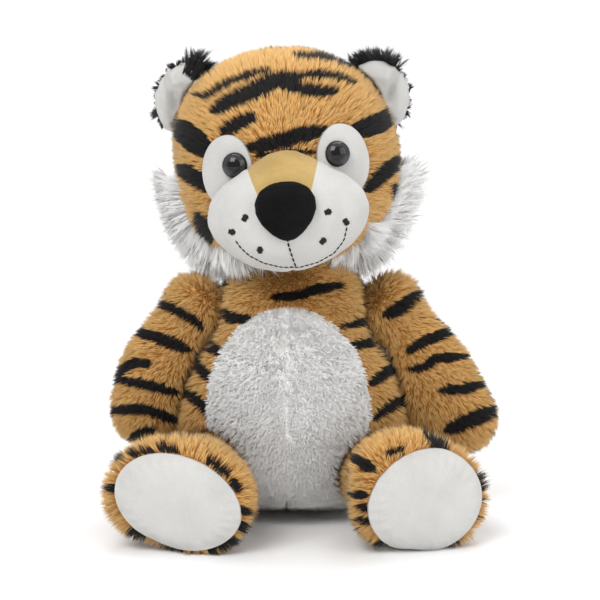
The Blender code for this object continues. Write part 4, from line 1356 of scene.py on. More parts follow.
@dataclass
class Torso:
    """The body: its stuffed form, orange pile and white belly pile."""

    dressing: Dressing
    form: bpy.types.Object
    density: float = 1.72e6
    belly_density: float = 1.75e6
    floor_gap: float = 2.0 * MM
    seam_at: float = -4.0 * MM
    seam_dip: float = 2.4 * MM
    low_edge: float = 40.0 * MM
    low_half: float = 52.0 * MM
    seat: float = 30.0 * MM
    seat_from: float = 0.3
    seat_full: float = 0.9
    margin: float = 1.5 * MM
    seat_rise: float = 12.0 * MM
    seat_top: float = 42.0 * MM

    def build(self, hidden: Sequence[BVHTree]) -> None:
        """Makes the torso's pieces.

        Args:
            hidden: Trees over forms that cover parts of the torso.
        """
        self._round_seat()
        sides = [f"torso_panel_{side.word}" for side in Side]
        bellies = [f"belly_panel_{side.word}" for side in Side]
        trees = [node_tree(*sides, "base_panel"), node_tree(*bellies)]
        bands = Bands(Vector((0, 0, 0.01)), Vector((0, 0.12, 1)), 27 * MM, 8.5 * MM, seed=3.0)
        coat = striped(BODY_STRIPES, bands)

        def backing(roots: Roots) -> np.ndarray:
            """Each point's coat, white on the belly."""
            return np.where(self._on_belly(roots, trees), Coat.WHITE.value, coat(roots))

        backing_coat(self.form, backing)
        roots = Roots.scattered(self.form, self.density, SEED)
        roots = roots.kept(roots.places[:, 2] > self.floor_gap).clear_of(hidden, self.margin)
        body = roots.kept(~self._on_belly(roots, trees))
        down = Vector((0, 0, -1))
        for side in Side:
            half = body.kept(body.places[:, 0] * side.value >= 0)
            share = half.near_share(trees[1], 6 * MM, 0.75)
            piece = Pile().grow(f"torso_pile_{side.word}", half, coat, flow_all(half, down), SEED, share)
            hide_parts(f"torso_panel_{side.word}")
            dressed(piece, self.dressing.pile, "torso")
        self._belly(hidden, trees)
        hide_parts("base_panel", "torso_filling", "pellet_bag")
        dressed(self.form, self.dressing.backing, "torso")

    def _round_seat(self) -> None:
        """Lifts the low front of the form, which hangs clear of the floor between the feet."""
        for vert in self.form.data.vertices:
            forward = min(max((-vert.co.y - self.seat * self.seat_from) / (self.seat * self.seat_full), 0), 1)
            low = min(max(1 - vert.co.z / self.seat_top, 0), 1)
            vert.co.z += self.seat_rise * forward * low
        self.form.data.update()

    def _on_belly(self, roots: Roots, trees: list[BVHTree]) -> np.ndarray:
        """Which roots are on the belly, whose pile hangs over its low edge between the feet."""
        low = (roots.places[:, 2] < self.low_edge) & (roots.places[:, 1] < -self.seat * self.seat_from)
        low &= np.abs(roots.places[:, 0] - self.seam_at) < self.low_half
        return (roots.nearest(trees) == 1) | low

    def _belly(self, hidden: Sequence[BVHTree], trees: list[BVHTree]) -> None:
        """The white belly: curlier pile, with a faint dip along its middle seam."""
        roots = Roots.scattered(self.form, self.belly_density, SEED + 1)
        roots = roots.kept(roots.places[:, 2] > self.floor_gap).clear_of(hidden, self.margin)
        roots = roots.kept(self._on_belly(roots, trees))
        curly = Pile(
            length=4.4 * MM, width=0.56 * MM, lift=0.9, comb=0.35, gather=0.12, stray=0.26, swirl=0.35,
            curl=0.25, tuft=2.2 * MM, rings=2, soft_light=0.97,
        )
        for side in Side:
            half = roots.kept((roots.places[:, 0] - self.seam_at) * side.value > 0.15 * MM)
            away = np.abs(half.places[:, 0] - self.seam_at)
            share = 0.78 + 0.22 * np.clip(away / self.seam_dip, 0, 1)
            edge = half.near_share(trees[0], 7 * MM, 0.7)
            flow = flow_all(half, Vector((side.value * 0.35, 0, -1)))
            name = f"belly_pile_{side.word}"
            piece = curly.grow(name, half, plain(Coat.WHITE), flow, SEED + 2, share * edge)
            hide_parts(f"belly_panel_{side.word}")
            dressed(piece, self.dressing.pile, "torso")


@dataclass
class Limb:
    """An arm or a leg: its stuffed form and its pile."""

    dressing: Dressing
    kind: str
    side: Side
    form: bpy.types.Object
    density: float = 1.9e6
    floor_gap: float = 2.0 * MM
    margin: float = 1.0 * MM

    def build(
        self, drawn: Sequence[Stripe], bands: Bands, flow: Flow, fuller: Share, hidden: Sequence[BVHTree]
    ) -> None:
        """Makes the limb's pile and dresses its form.

        Args:
            drawn: The stripes that show in front.
            bands: The stripes round the back.
            flow: The way that the pile is combed at each root.
            fuller: How much fuller than usual the pile is at each root.
            hidden: Trees over forms that cover parts of the limb.
        """
        body = f"{self.kind}_{self.side.word}"
        coat = striped(drawn, bands)
        backing_coat(self.form, coat)
        roots = Roots.scattered(self.form, self.density, SEED + 3)
        roots = roots.kept(roots.places[:, 2] > self.floor_gap).clear_of(hidden, self.margin)
        name = f"{self.kind}_pile_{self.side.word}"
        piece = Pile().grow(name, roots, coat, flow(roots), SEED + 4, fuller(roots))
        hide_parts(f"{self.kind}_cover_{self.side.word}")
        dressed(piece, self.dressing.pile, body)
        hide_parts(f"{self.kind}_filling_{self.side.word}")
        dressed(self.form, self.dressing.backing, body)


@dataclass
class Leg:
    """A leg with its smooth sole, whose rim and gathers each have a place in its oval, a width and a depth."""

    dressing: Dressing
    side: Side
    splay: float
    turn: float
    radii: tuple
    sole_move: tuple
    twist: float
    proud: float = 2.8 * MM
    cap: float = 1.8 * MM
    held_from: float = 0.94
    held_behind: float = 20 * MM
    depths: tuple = (22 * MM, 40 * MM)
    rim: tuple = (0.98, 0.10, -1.3 * MM)
    gathers: tuple = (0.86, 0.12, 0.35 * MM)
    gather_count: int = 23
    soft: float = 0.7 * MM
    twisted: float = 60 * MM

    def build(self, form: bpy.types.Object, torso: BVHTree) -> None:
        """Makes the leg's pieces.

        Args:
            form: The leg's stuffed form.
            torso: A tree over the torso's form.
        """
        way = Vector((self.side.value * math.sin(self.splay), -math.cos(self.splay), 0))
        long_way = Matrix.Rotation(-self.side.value * self.turn, 3, "Y") @ Vector((0, 0, 1))
        low, high = (Vector(corner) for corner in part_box(f"sole_{self.side.word}"))
        centre = (low + high) / 2
        self._twist(form, centre, way)
        centre += Vector(self.sole_move)
        sole = copied(form, f"sole_pad_{self.side.word}")
        wide = (long_way - way * long_way.dot(way)).normalized()
        deep = way.cross(wide)

        def held(point: Vector) -> bool:
            """Whether a point is sewn down, or up the leg."""
            away = point - centre
            out = math.hypot(away.dot(wide) / self.radii[0], away.dot(deep) / self.radii[1])
            return out > self.held_from or away.dot(way) < -self.held_behind

        Filling(cap=self.cap).swell(sole, held)
        grown(sole, self.proud)
        self._pucker(sole, centre, way, wide, deep)
        bar = oval_bar("sole_marker", centre, way, long_way, self.radii, self.depths)
        mark = tree_over(bar)
        cut_with(sole, bar, "INTERSECT")
        keep_largest(sole)
        smooth_shaded(sole)
        smooth_to_rims(sole, 55)
        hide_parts(f"sole_{self.side.word}")
        dressed(sole, self.dressing.white_velour, f"leg_{self.side.word}")
        limb = Limb(self.dressing, "leg", self.side, form)
        hidden = [torso, mark]
        bands = Bands(centre - way * 40 * MM, way, 25 * MM, 8 * MM, seed=5.0 + self.side.value)

        def flow(roots: Roots) -> np.ndarray:
            """The way that the pile lies: out from the sole, and back along the leg."""
            away = roots.places - np.array(centre)
            away -= (away @ np.array(way))[:, None] * np.array(way)
            return unit(away) - np.array(way) * 0.5

        def fuller(roots: Roots) -> np.ndarray:
            """How full the pile is: fuller near the sole, above it and on its outer side."""
            away = roots.places - np.array(centre)
            near = np.clip(1 + away @ np.array(way) / (45 * MM), 0, 1)
            out = np.clip(away[:, 0] * self.side.value / (40 * MM), -1, 1)
            up = np.clip(away[:, 2] / (30 * MM), 0, 1)
            return 1 + near * (0.1 + 0.2 * out.clip(0, 1) + 0.25 * up) * (away[:, 2] > -25 * MM)

        limb.build(FOOT_STRIPES[self.side], bands, flow, fuller, hidden)

    def _twist(self, form: bpy.types.Object, centre: Vector, way: Vector) -> None:
        """Turns the foot about the leg's line, and less and less up the leg."""
        for vert in form.data.vertices:
            away = vert.co - centre
            share = min(max(1 + away.dot(way) / self.twisted, 0), 1)
            vert.co = centre + Matrix.Rotation(self.twist * share, 3, way) @ away
        form.data.update()

    def _pucker(
        self, sole: bpy.types.Object, centre: Vector, way: Vector, wide: Vector, deep: Vector
    ) -> None:
        """Draws the sole's rim in and raises small gathers round it."""

        def ring(out: float, at: float, width: float, depth: float) -> float:
            """A ring's depth at a share of the oval."""
            return depth * math.exp(-(((out - at) / width) ** 2))

        for vert in sole.data.vertices:
            away = vert.co - centre
            across, down = away.dot(wide) / self.radii[0], away.dot(deep) / self.radii[1]
            out = math.hypot(across, down)
            angle = math.atan2(down, across)
            fold = math.sin(angle * self.gather_count + 2 * math.sin(angle * 3))
            soft = self.soft * noise.noise(vert.co * 55)
            vert.co += way * (ring(out, *self.rim) + fold * ring(out, *self.gathers) + soft)


@dataclass
class Head:
    """The head: its stuffed form, pile, eye patches and eyes."""

    dressing: Dressing
    form: bpy.types.Object
    density: float = 1.9e6
    eye_radius: float = 8.0 * MM
    eye_bulge: float = 5.8 * MM
    eye_ahead: float = 0.7
    eye_front: float = -59 * MM
    eye_move: dict = field(
        default_factory=lambda: {Side.LEFT: (0.3 * MM, 0, -0.6 * MM), Side.RIGHT: (1.5 * MM, 0, -1.6 * MM)}
    )
    patch_move: dict = field(
        default_factory=lambda: {Side.LEFT: (3.3 * MM, 0, -1.5 * MM), Side.RIGHT: (0.6 * MM, 0, -2.2 * MM)}
    )
    patch_radii: dict = field(
        default_factory=lambda: {Side.LEFT: (17.6 * MM, 22.5 * MM), Side.RIGHT: (17.0 * MM, 22.5 * MM)}
    )
    patch_tilt: float = math.radians(8)
    patch_depths: tuple = (9 * MM, 30 * MM)
    patch_proud: float = 3.6 * MM
    nose_place: tuple = (0, -0.105, -0.02)

    def build(self, muzzle: BVHTree, hidden: Sequence[BVHTree]) -> None:
        """Makes the head's pieces.

        Args:
            muzzle: A tree over the muzzle's form.
            hidden: Trees over other forms that cover parts of the head.
        """
        bars = {side: self._patch_bar(side) for side in Side}
        marks = [tree_over(bar) for bar in bars.values()]
        roots = Roots.scattered(self.form, self.density, SEED + 5)
        roots = roots.clear_of([muzzle, *hidden, *marks], 0.5 * MM)
        region = roots.nearest([node_tree("head_face_panel"), node_tree("head_back_panel")])
        in_ruff = ruff_zone(roots)
        bands = EarToEar(HEAD.middle, HEAD.matrix().to_3x3() @ Vector((1, 0, 0)), 28 * MM, 9 * MM, seed=8.0)
        coat = striped(HEAD_STRIPES, bands)

        def backing(points: Roots) -> np.ndarray:
            """Each point's coat, white under the ruffs."""
            return np.where(ruff_zone(points), Coat.WHITE.value, coat(points))

        backing_coat(self.form, backing)
        from_nose = np.array(HEAD.matrix() @ Vector(self.nose_place))
        panels = (("face_pile", "head_face_panel"), ("crown_pile", "head_back_panel"))
        for order, (panel, node) in enumerate(panels):
            for side in Side:
                on_side = (roots.places[:, 0] - HEAD.middle.x) * side.value >= 0
                part = roots.kept((region == order) & ~in_ruff & on_side)
                share = part.near_share(muzzle, 8 * MM, 0.5)
                for mark in marks:
                    share *= part.near_share(mark, 5 * MM, 0.7)
                name = f"{panel}_{side.word}"
                piece = Pile().grow(name, part, coat, part.places - from_nose, SEED + 6 + order, share)
                if side is Side.LEFT:
                    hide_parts(node)
                dressed(piece, self.dressing.pile, "head")
        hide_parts("head_filling")
        dressed(self.form, self.dressing.backing, "head")
        for side in Side:
            self._eye(side, bars[side])

    def _patch_bar(self, side: Side) -> bpy.types.Object:
        """An oval bar that marks out one eye's patch."""
        low, high = (Vector(corner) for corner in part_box(f"eye_patch_{side.word}"))
        node = frame["nodes"][f"eye_patch_{side.word}"]
        faces = [face for face in node.data.polygons if face.normal.y < -0.3]
        outward = sum((face.normal * face.area for face in faces), Vector()).normalized()
        up = HEAD.matrix().to_3x3() @ Vector((0, 0, 1))
        across = up.cross(outward).normalized()
        tilted = Matrix.Rotation(side.value * self.patch_tilt, 3, outward) @ across
        centre = (low + high) / 2 + Vector(self.patch_move[side])
        return oval_bar("patch_marker", centre, outward, tilted, self.patch_radii[side], self.patch_depths)

    def _eye(self, side: Side, bar: bpy.types.Object) -> None:
        """One eye and the patch that it sits on."""
        patch = copied(self.form, f"eye_patch_cloth_{side.word}")
        grown(patch, self.patch_proud)
        cut_with(patch, bar, "INTERSECT")
        keep_largest(patch)
        smooth_to_rims(patch, 50)
        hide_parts(f"eye_patch_{side.word}")
        dressed(patch, self.dressing.white_velour, "head")
        self._dome(side, patch)

    def _dome(self, side: Side, patch: bpy.types.Object) -> None:
        """A glossy dome that presses into its patch."""
        node = frame["nodes"][f"eye_{side.word}"]
        faces = [face for face in node.data.polygons if face.center.y < self.eye_front]
        area = sum(face.area for face in faces)
        middle = sum((face.center * face.area for face in faces), Vector()) / area
        ray = (middle + Vector(self.eye_move[side]) - VIEW.eye()).normalized()
        place, normal, _, _ = tree_over(patch).ray_cast(VIEW.eye(), ray)
        deselected()
        bpy.ops.mesh.primitive_uv_sphere_add(segments=48, ring_count=24, radius=1.0)
        dome = bpy.context.active_object
        dome.name = f"eye_dome_{side.word}"
        outs = [min(math.hypot(vert.co.x, vert.co.y), 1.0) for vert in dome.data.vertices]
        noted(dome, "out", outs)
        facing = normal.lerp(-ray, self.eye_ahead).to_track_quat("Z", "Y").to_matrix().to_4x4()
        size = Matrix.Diagonal((self.eye_radius, self.eye_radius, self.eye_bulge, 1))
        dome.data.transform(Matrix.Translation(place) @ facing @ size)
        smooth_shaded(dome)
        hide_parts(f"eye_{side.word}", f"eye_washer_{side.word}")
        dressed(dome, self.dressing.eye, "head")


@dataclass
class Muzzle:
    """The muzzle: two white halves and a tan bridge that meet in seams, the nose, and the stitched mouth."""

    dressing: Dressing
    form: bpy.types.Object
    bridge_low: float = -15.0 * MM
    bridge_top_half: float = 23.0 * MM
    bridge_low_half: float = 15.5 * MM
    bridge_length: float = 20.0 * MM
    groove: float = 0.7 * MM
    groove_width: float = 1.6 * MM
    sewn_at: float = -62.0 * MM
    seam_hold: float = 1.6 * MM
    cap: float = 1.3 * MM
    soft: float = 0.4 * MM
    smile: Line = (
        (236, 241), (241, 248), (250, 256), (264, 263), (281, 267), (300, 267), (318, 262), (334, 253), (344, 240),
        (347, 226),
    )
    lip: Line = ((287, 238), (289, 247), (292, 256), (296, 267))
    dots: Line = ((245, 218), (232, 232), (260, 250), (328, 212), (346, 222), (323, 241))
    stitch: float = 3.7
    stitch_gap: float = 1.5
    stitch_radius: float = 0.62 * MM
    dot_rows: int = 5
    dot_pitch: float = 1.4
    dot_half: float = 3.6
    dot_round: float = 4.0
    dot_radius: float = 0.6 * MM

    def swell(self) -> BVHTree:
        """Swells the form between its seams, and returns a tree over it."""
        to_head = self._to_head()

        def held(point: Vector) -> bool:
            """Whether a point is sewn down, at the head or along a seam."""
            place = to_head @ point
            return place.y > self.sewn_at or self._seam_gap(place) < self.seam_hold

        Filling(cap=self.cap).swell(self.form, held)
        self._grooves()
        smooth_shaded(self.form)
        return tree_over(self.form)

    def build(self) -> None:
        """Makes the muzzle's pieces."""
        tree = tree_over(self.form)
        for name, line in (("smile_stitches", self.smile), ("lip_stitches", self.lip)):
            piece = self._stitches(name, line, tree)
            dressed(piece, self.dressing.thread, "head")
        dressed(self._dots(tree), self.dressing.thread, "head")
        self._cloths()
        self._nose()

    def _to_head(self) -> Matrix:
        """From the row's frame to the head's."""
        return HEAD.matrix().inverted()

    def _bridge_half(self, up: float) -> float:
        """Half of the bridge's width at a height in the head's frame."""
        share = (up - self.bridge_low) / self.bridge_length
        return self.bridge_low_half + (self.bridge_top_half - self.bridge_low_half) * share

    def _seam_gap(self, place: Vector) -> float:
        """How far a place in the head's frame is from the nearest seam, seen from the front."""
        if place.z > self.bridge_low:
            off = abs(abs(place.x) - self._bridge_half(place.z))
            return min(off, math.hypot(place.z - self.bridge_low, max(abs(place.x) - self.bridge_low_half, 0)))
        under = abs(place.z - self.bridge_low) if abs(place.x) < self.bridge_low_half else 1
        return min(abs(place.x), under)

    def _grooves(self) -> None:
        """Presses the seams between the halves and round the bridge."""
        to_head = self._to_head()
        for vert in self.form.data.vertices:
            off = self._seam_gap(to_head @ vert.co)
            depth = self.groove * math.exp(-((off / self.groove_width) ** 2))
            soft = noise.noise(vert.co * 60) * self.soft
            vert.co -= vert.normal * (depth - soft)
        self.form.data.update()

    def _wedge(self) -> bpy.types.Object:
        """A tapered block round the bridge."""
        deselected()
        bpy.ops.mesh.primitive_cube_add(size=1.0)
        block = bpy.context.active_object
        top = self.bridge_low + self.bridge_length * 2
        for vert in block.data.vertices:
            up = top if vert.co.z > 0 else self.bridge_low
            half = self._bridge_half(up)
            vert.co = Vector((half if vert.co.x > 0 else -half, -0.2 if vert.co.y < 0 else -0.02, up))
        block.data.transform(HEAD.matrix())
        return block

    def _cloths(self) -> None:
        """The three cloths of the muzzle, cut from its form."""
        bridge = copied(self.form, "bridge_cloth")
        cut_with(bridge, self._wedge(), "INTERSECT")
        keep_largest(bridge)
        cut_with(self.form, self._wedge(), "DIFFERENCE")
        for side in Side:
            half = copied(self.form, f"muzzle_cloth_{side.word}")
            bm = joined([half])
            bmesh.ops.transform(bm, matrix=self._to_head(), verts=bm.verts)
            inward = Vector((-side.value, 0, 0))
            geometry = bm.verts[:] + bm.edges[:] + bm.faces[:]
            cut = bmesh.ops.bisect_plane(
                bm, geom=geometry, plane_co=Vector(), plane_no=inward, clear_outer=True
            )
            rim = [item for item in cut["geom_cut"] if isinstance(item, bmesh.types.BMEdge)]
            bmesh.ops.edgeloop_fill(bm, edges=rim)
            bmesh.ops.transform(bm, matrix=HEAD.matrix(), verts=bm.verts)
            bm.to_mesh(half.data)
            bm.free()
            panel = f"muzzle_panel_{side.word}"
            self._finish_cloth(half, self.dressing.white_velour, (panel,))
        nodes = ("muzzle_bridge", "muzzle_filling")
        self._finish_cloth(bridge, self.dressing.tan_velour, nodes)
        bpy.data.objects.remove(self.form)

    def _finish_cloth(
        self, piece: bpy.types.Object, material: bpy.types.Material, nodes: tuple
    ) -> None:
        """Shades and dresses one cloth of the muzzle."""
        smooth_to_rims(piece, 50)
        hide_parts(*nodes)
        dressed(piece, material, "head")

    def _nose(self) -> None:
        """The black nose."""
        nose = stuffed_form("nose_cloth", ["nose"], 0.9 * MM, 0.0, 10)
        grown(nose, 0.5 * MM)
        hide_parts("nose")
        dressed(nose, self.dressing.black_velour, "head")

    def _on_cloth(self, tree: BVHTree, across: float, down: float) -> tuple[Vector, Vector]:
        """The place and the direction of the muzzle's surface behind a place in the picture."""
        place, normal, _, _ = tree.ray_cast(VIEW.eye(), VIEW.ray(across, down))
        return place, normal

    def _stitches(self, name: str, line: Line, tree: BVHTree) -> bpy.types.Object:
        """A row of stitches along a line in the picture.

        Args:
            name: The piece's name.
            line: The line's places in the picture.
            tree: A tree over the muzzle's form.

        Returns:
            The piece.
        """
        points = np.array(line, float)
        steps = np.concatenate([[0], np.cumsum(np.linalg.norm(np.diff(points, axis=0), axis=1))])
        bm = bmesh.new()
        start = 0.0
        while start + self.stitch < steps[-1] + self.stitch * 0.6:
            ends = []
            for along in (start, min(start + self.stitch, steps[-1])):
                across = float(np.interp(along, steps, points[:, 0]))
                down = float(np.interp(along, steps, points[:, 1]))
                ends.append(self._on_cloth(tree, across, down))
            self._stitch(bm, ends, self.stitch_radius)
            start += self.stitch + self.stitch_gap
        return self._from_bmesh(bm, name)

    def _stitch(self, bm: bmesh.types.BMesh, ends: list, radius: float) -> None:
        """One raised stitch between two places on the cloth."""
        (start, normal), (end, _) = ends
        along = end - start
        if along.length < 0.1 * MM:
            return
        facing = Matrix((along.normalized(), normal.cross(along).normalized(), normal)).transposed().to_4x4()
        size = Matrix.Diagonal((along.length / 2 + radius * 0.55, radius, radius * 0.8, 1))
        place = Matrix.Translation((start + end) / 2 + normal * radius * 0.15)
        bmesh.ops.create_uvsphere(bm, u_segments=10, v_segments=6, radius=1, matrix=place @ facing @ size)

    def _dots(self, tree: BVHTree) -> bpy.types.Object:
        """The whisker dots, each a knot of short stitches."""
        bm = bmesh.new()
        for order, (across, down) in enumerate(self.dots):
            turn = 0.5 + order * 1.3
            along = np.array((math.cos(turn), math.sin(turn)))
            over = np.array((-along[1], along[0]))
            for row in range(self.dot_rows):
                off = (row - self.dot_rows // 2) * self.dot_pitch
                uneven = 0.85 + 0.15 * math.sin(order * 5 + row * 2)
                half = self.dot_half * math.sqrt(1 - (off / self.dot_round) ** 2) * uneven
                middle = np.array((across, down)) + over * off
                ends = [self._on_cloth(tree, *(middle + along * half * sign)) for sign in (-1, 1)]
                self._stitch(bm, ends, self.dot_radius)
        return self._from_bmesh(bm, "whisker_dots")

    def _from_bmesh(self, bm: bmesh.types.BMesh, name: str) -> bpy.types.Object:
        """A smooth piece from a bmesh."""
        piece = unpacked(bm, name)
        smooth_shaded(piece)
        return piece


@dataclass
class Ear:
    """An ear: a dished and creased cloth, with black fur behind, a tuft at its top and hairs round its rim."""

    dressing: Dressing
    side: Side
    density: float = 2.6e6
    half_width: float = 24 * MM
    half_height: float = 20 * MM
    creases: tuple = (
        (0.45, 0.75, 0.15, 0.1, 3.0 * MM),
        (0.2, 0.85, -0.25, 0.15, -3.6 * MM),
        (-0.45, 0.8, -0.75, 0.1, 2.2 * MM),
    )
    marks: dict = field(
        default_factory=lambda: {Side.LEFT: ((118, 3), (152, 5)), Side.RIGHT: ((54, 6), (98, 4), (150, 16))}
    )
    backing_depth: float = 1.5 * MM
    crease_width: float = 0.13
    tuft_low: float = 0.58
    tuft_out: float = 0.5
    tuft_angle: float = math.radians(76)

    def build(self, head: BVHTree) -> None:
        """Makes the ear's pieces.

        Args:
            head: A tree over the head's form.
        """
        word = self.side.word
        nodes = [f"ear_back_{word}", f"ear_front_{word}"]
        form = stuffed_form(f"ear_cloth_{word}", nodes, 1.1 * MM, 0.0, 8)
        self._crease(form)
        ahead = np.array(self._axes()[2])
        roots = Roots.scattered(form, self.density, SEED + 9).clear_of([head], 0.5 * MM)
        along, out = self._spread(roots.places)
        facing = roots.normals @ ahead
        tuft = self._in_tuft(along, out)
        kept = (facing < 0.3) | (tuft & (self.side is Side.RIGHT))
        roots, along, out, facing, tuft = roots.kept(kept), along[kept], out[kept], facing[kept], tuft[kept]
        marked = self._marked(along, out)
        share = np.where(tuft, 1.0, np.where(marked, 0.5, np.where(facing > -0.5, 0.14, 0.3)))
        pile = Pile(
            length=12 * MM, width=0.55 * MM, lift=0.35, comb=1.0, gather=0.5, stray=0.2, swirl=0.2,
            curl=0.12, tuft=4.0 * MM, rings=2, sink=0.4 * MM,
        )
        coat = self._coat(facing, tuft | marked)
        piece = pile.grow(f"ear_pile_{word}", roots, coat, self._fan(along, out, tuft), SEED + 10, share)
        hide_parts(nodes[0])
        dressed(piece, self.dressing.pile, f"ear_{word}")
        self._backing(form)
        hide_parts(nodes[1])
        dressed(form, self.dressing.white_velour, f"ear_{word}")

    def _fold(self) -> dict:
        """The joint that the ear folds on."""
        return next(joint for joint in frame["joints"] if joint["name"] == f"ear_fold_{self.side.word}")

    def _axes(self) -> tuple[Vector, Vector, Vector]:
        """The ways up along the ear's base, out of the head and out of the ear's front."""
        word = self.side.word
        middles = []
        for kind in ("front", "back"):
            verts = frame["nodes"][f"ear_{kind}_{word}"].data.vertices
            middles.append(sum((vert.co for vert in verts), Vector()) / len(verts))
        joint = self._fold()
        along = Vector(joint["axis"]).normalized()
        along *= math.copysign(1, along.z)
        out = middles[1] - Vector(joint["pos_m"])
        out = (out - along * out.dot(along)).normalized()
        ahead = along.cross(out)
        return along, out, ahead * math.copysign(1, ahead.dot(middles[0] - middles[1]))

    def _spread(self, places: np.ndarray) -> tuple[np.ndarray, np.ndarray]:
        """How far up and how far out places lie on the ear, each as a share of its size."""
        along, out, _ = self._axes()
        away = places - np.array(self._fold()["pos_m"])
        return away @ np.array(along) / self.half_width, away @ np.array(out) / self.half_height

    def _in_tuft(self, along: np.ndarray, out: np.ndarray) -> np.ndarray:
        """Which places carry the long tuft: the top end of one ear, and the upper rim of the other."""
        if self.side is Side.RIGHT:
            return (along > self.tuft_low) & (out < self.tuft_out)
        return np.arctan2(out, along) < self.tuft_angle

    def _marked(self, along: np.ndarray, out: np.ndarray) -> np.ndarray:
        """Which places carry the few longer black hairs round the rim."""
        angle = np.degrees(np.arctan2(out, along))
        found = np.zeros(len(along), bool)
        for middle, half in self.marks[self.side]:
            found |= np.abs(angle - middle) < half
        return found

    def _backing(self, form: bpy.types.Object) -> None:
        """A black cloth over the back half of the ear, under its fur."""
        up, _, ahead = self._axes()
        middle = Vector(points_of(form).mean(0)) - ahead * self.backing_depth
        back = copied(form, f"ear_backing_{self.side.word}")
        behind = oval_bar("ear_marker", middle, -ahead, up, (60 * MM, 60 * MM), (0.0, 40 * MM))
        cut_with(back, behind, "INTERSECT")
        keep_largest(back)
        grown(back, 0.25 * MM)
        backing_coat(back, plain(Coat.BLACK))
        dressed(back, self.dressing.backing, f"ear_{self.side.word}")

    def _fan(self, along: np.ndarray, out: np.ndarray, tuft: np.ndarray) -> np.ndarray:
        """The way that each hair lies: out from the ear's middle, and up in the tuft."""
        up, outward, _ = (np.array(axis) for axis in self._axes())
        low = np.where(tuft, 0.05 if self.side is Side.RIGHT else -0.25, 0.0)
        spread = 1.0 if self.side is Side.RIGHT else 1.6
        return (along - low)[:, None] * up + np.maximum(out * spread - 0.25 * tuft, -0.3)[:, None] * outward

    def _coat(self, facing: np.ndarray, dark: np.ndarray) -> Paint:
        """Black behind, in the tuft and in the longer hairs of the rim, and white along the rest of the rim."""
        white = ~dark & (facing > -0.5)
        return lambda roots: np.where(white, Coat.WHITE.value, Coat.BLACK.value)

    def _crease(self, form: bpy.types.Object) -> None:
        """Presses soft creases into the front of the cloth."""
        ahead = self._axes()[2]
        spots = np.column_stack(self._spread(points_of(form)))
        for vert, spot in zip(form.data.vertices, spots):
            facing = max(vert.normal.dot(ahead), 0) ** 0.5
            for along, out, end_along, end_out, depth in self.creases:
                start, end = np.array((along, out)), np.array((end_along, end_out))
                share = np.clip((spot - start) @ (end - start) / ((end - start) @ (end - start)), 0, 1)
                off = np.linalg.norm(spot - start - share * (end - start))
                vert.co += ahead * (depth * facing * math.exp(-((off / self.crease_width) ** 2)))
        form.data.update()


@dataclass
class Ruff:
    """The ruff of long white hair under a cheek, which starts on the cheek and sweeps out past it."""

    dressing: Dressing
    side: Side
    density: float = 2.55e6
    forward: float = 0.35
    longest: float = 13 * MM
    margin: float = 0.5 * MM
    cheek_share: float = 0.8

    def build(self, head: bpy.types.Object, hidden: Sequence[BVHTree]) -> None:
        """Makes the ruff's pieces.

        Args:
            head: The head's stuffed form.
            hidden: Trees over forms that cover parts of the ruff.
        """
        word = self.side.word
        form = stuffed_form(f"ruff_backing_{word}", [f"ruff_{word}"], 2 * MM, 2.5 * MM, 6)
        backing_coat(form, plain(Coat.WHITE))
        others = [tree_over(head), *hidden]
        back = Roots.scattered(form, self.density, SEED + 11).clear_of(others, self.margin)
        cheek = Roots.scattered(head, self.density * self.cheek_share, SEED + 13).clear_of(hidden, self.margin)
        cheek = cheek.kept(ruff_zone(cheek) & (cheek.places[:, 0] * self.side.value > 0))
        places = np.concatenate([back.places, cheek.places])
        roots = Roots(places, np.concatenate([back.normals, cheek.normals]), self.density)
        roots = roots.kept(in_outline(VIEW.drawn(roots.places), RUFF_OUTLINES[self.side]))
        drawn = VIEW.drawn(roots.places)
        ways = unit(drawn - np.array(RUFF_FANS[self.side], float))
        reach = way_out(drawn, ways, RUFF_OUTLINES[self.side]) / VIEW.scale(roots.places)
        ahead = np.where(roots.normals[:, 1] > 0.3, self.forward, -self.forward)
        flow = np.column_stack([ways[:, 0], ahead, -ways[:, 1]])
        pile = Pile(
            length=self.longest, width=0.46 * MM, lift=0.3, comb=1.0, gather=0.14, stray=0.26, swirl=0.3,
            curl=0.12, tuft=2.6 * MM, rings=2, vary=0.3, sink=0.5 * MM, soft_light=0.97,
            lit_way=Vector((0, -0.8, 0.6)), free=True,
        )
        share = np.clip(reach / pile.length, 0.2, 1.0)
        piece = pile.grow(f"ruff_hair_{word}", roots, plain(Coat.WHITE), flow, SEED + 12, share)
        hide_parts(f"ruff_{word}")
        dressed(piece, self.dressing.pile, "head")
        dressed(form, self.dressing.backing, "head")


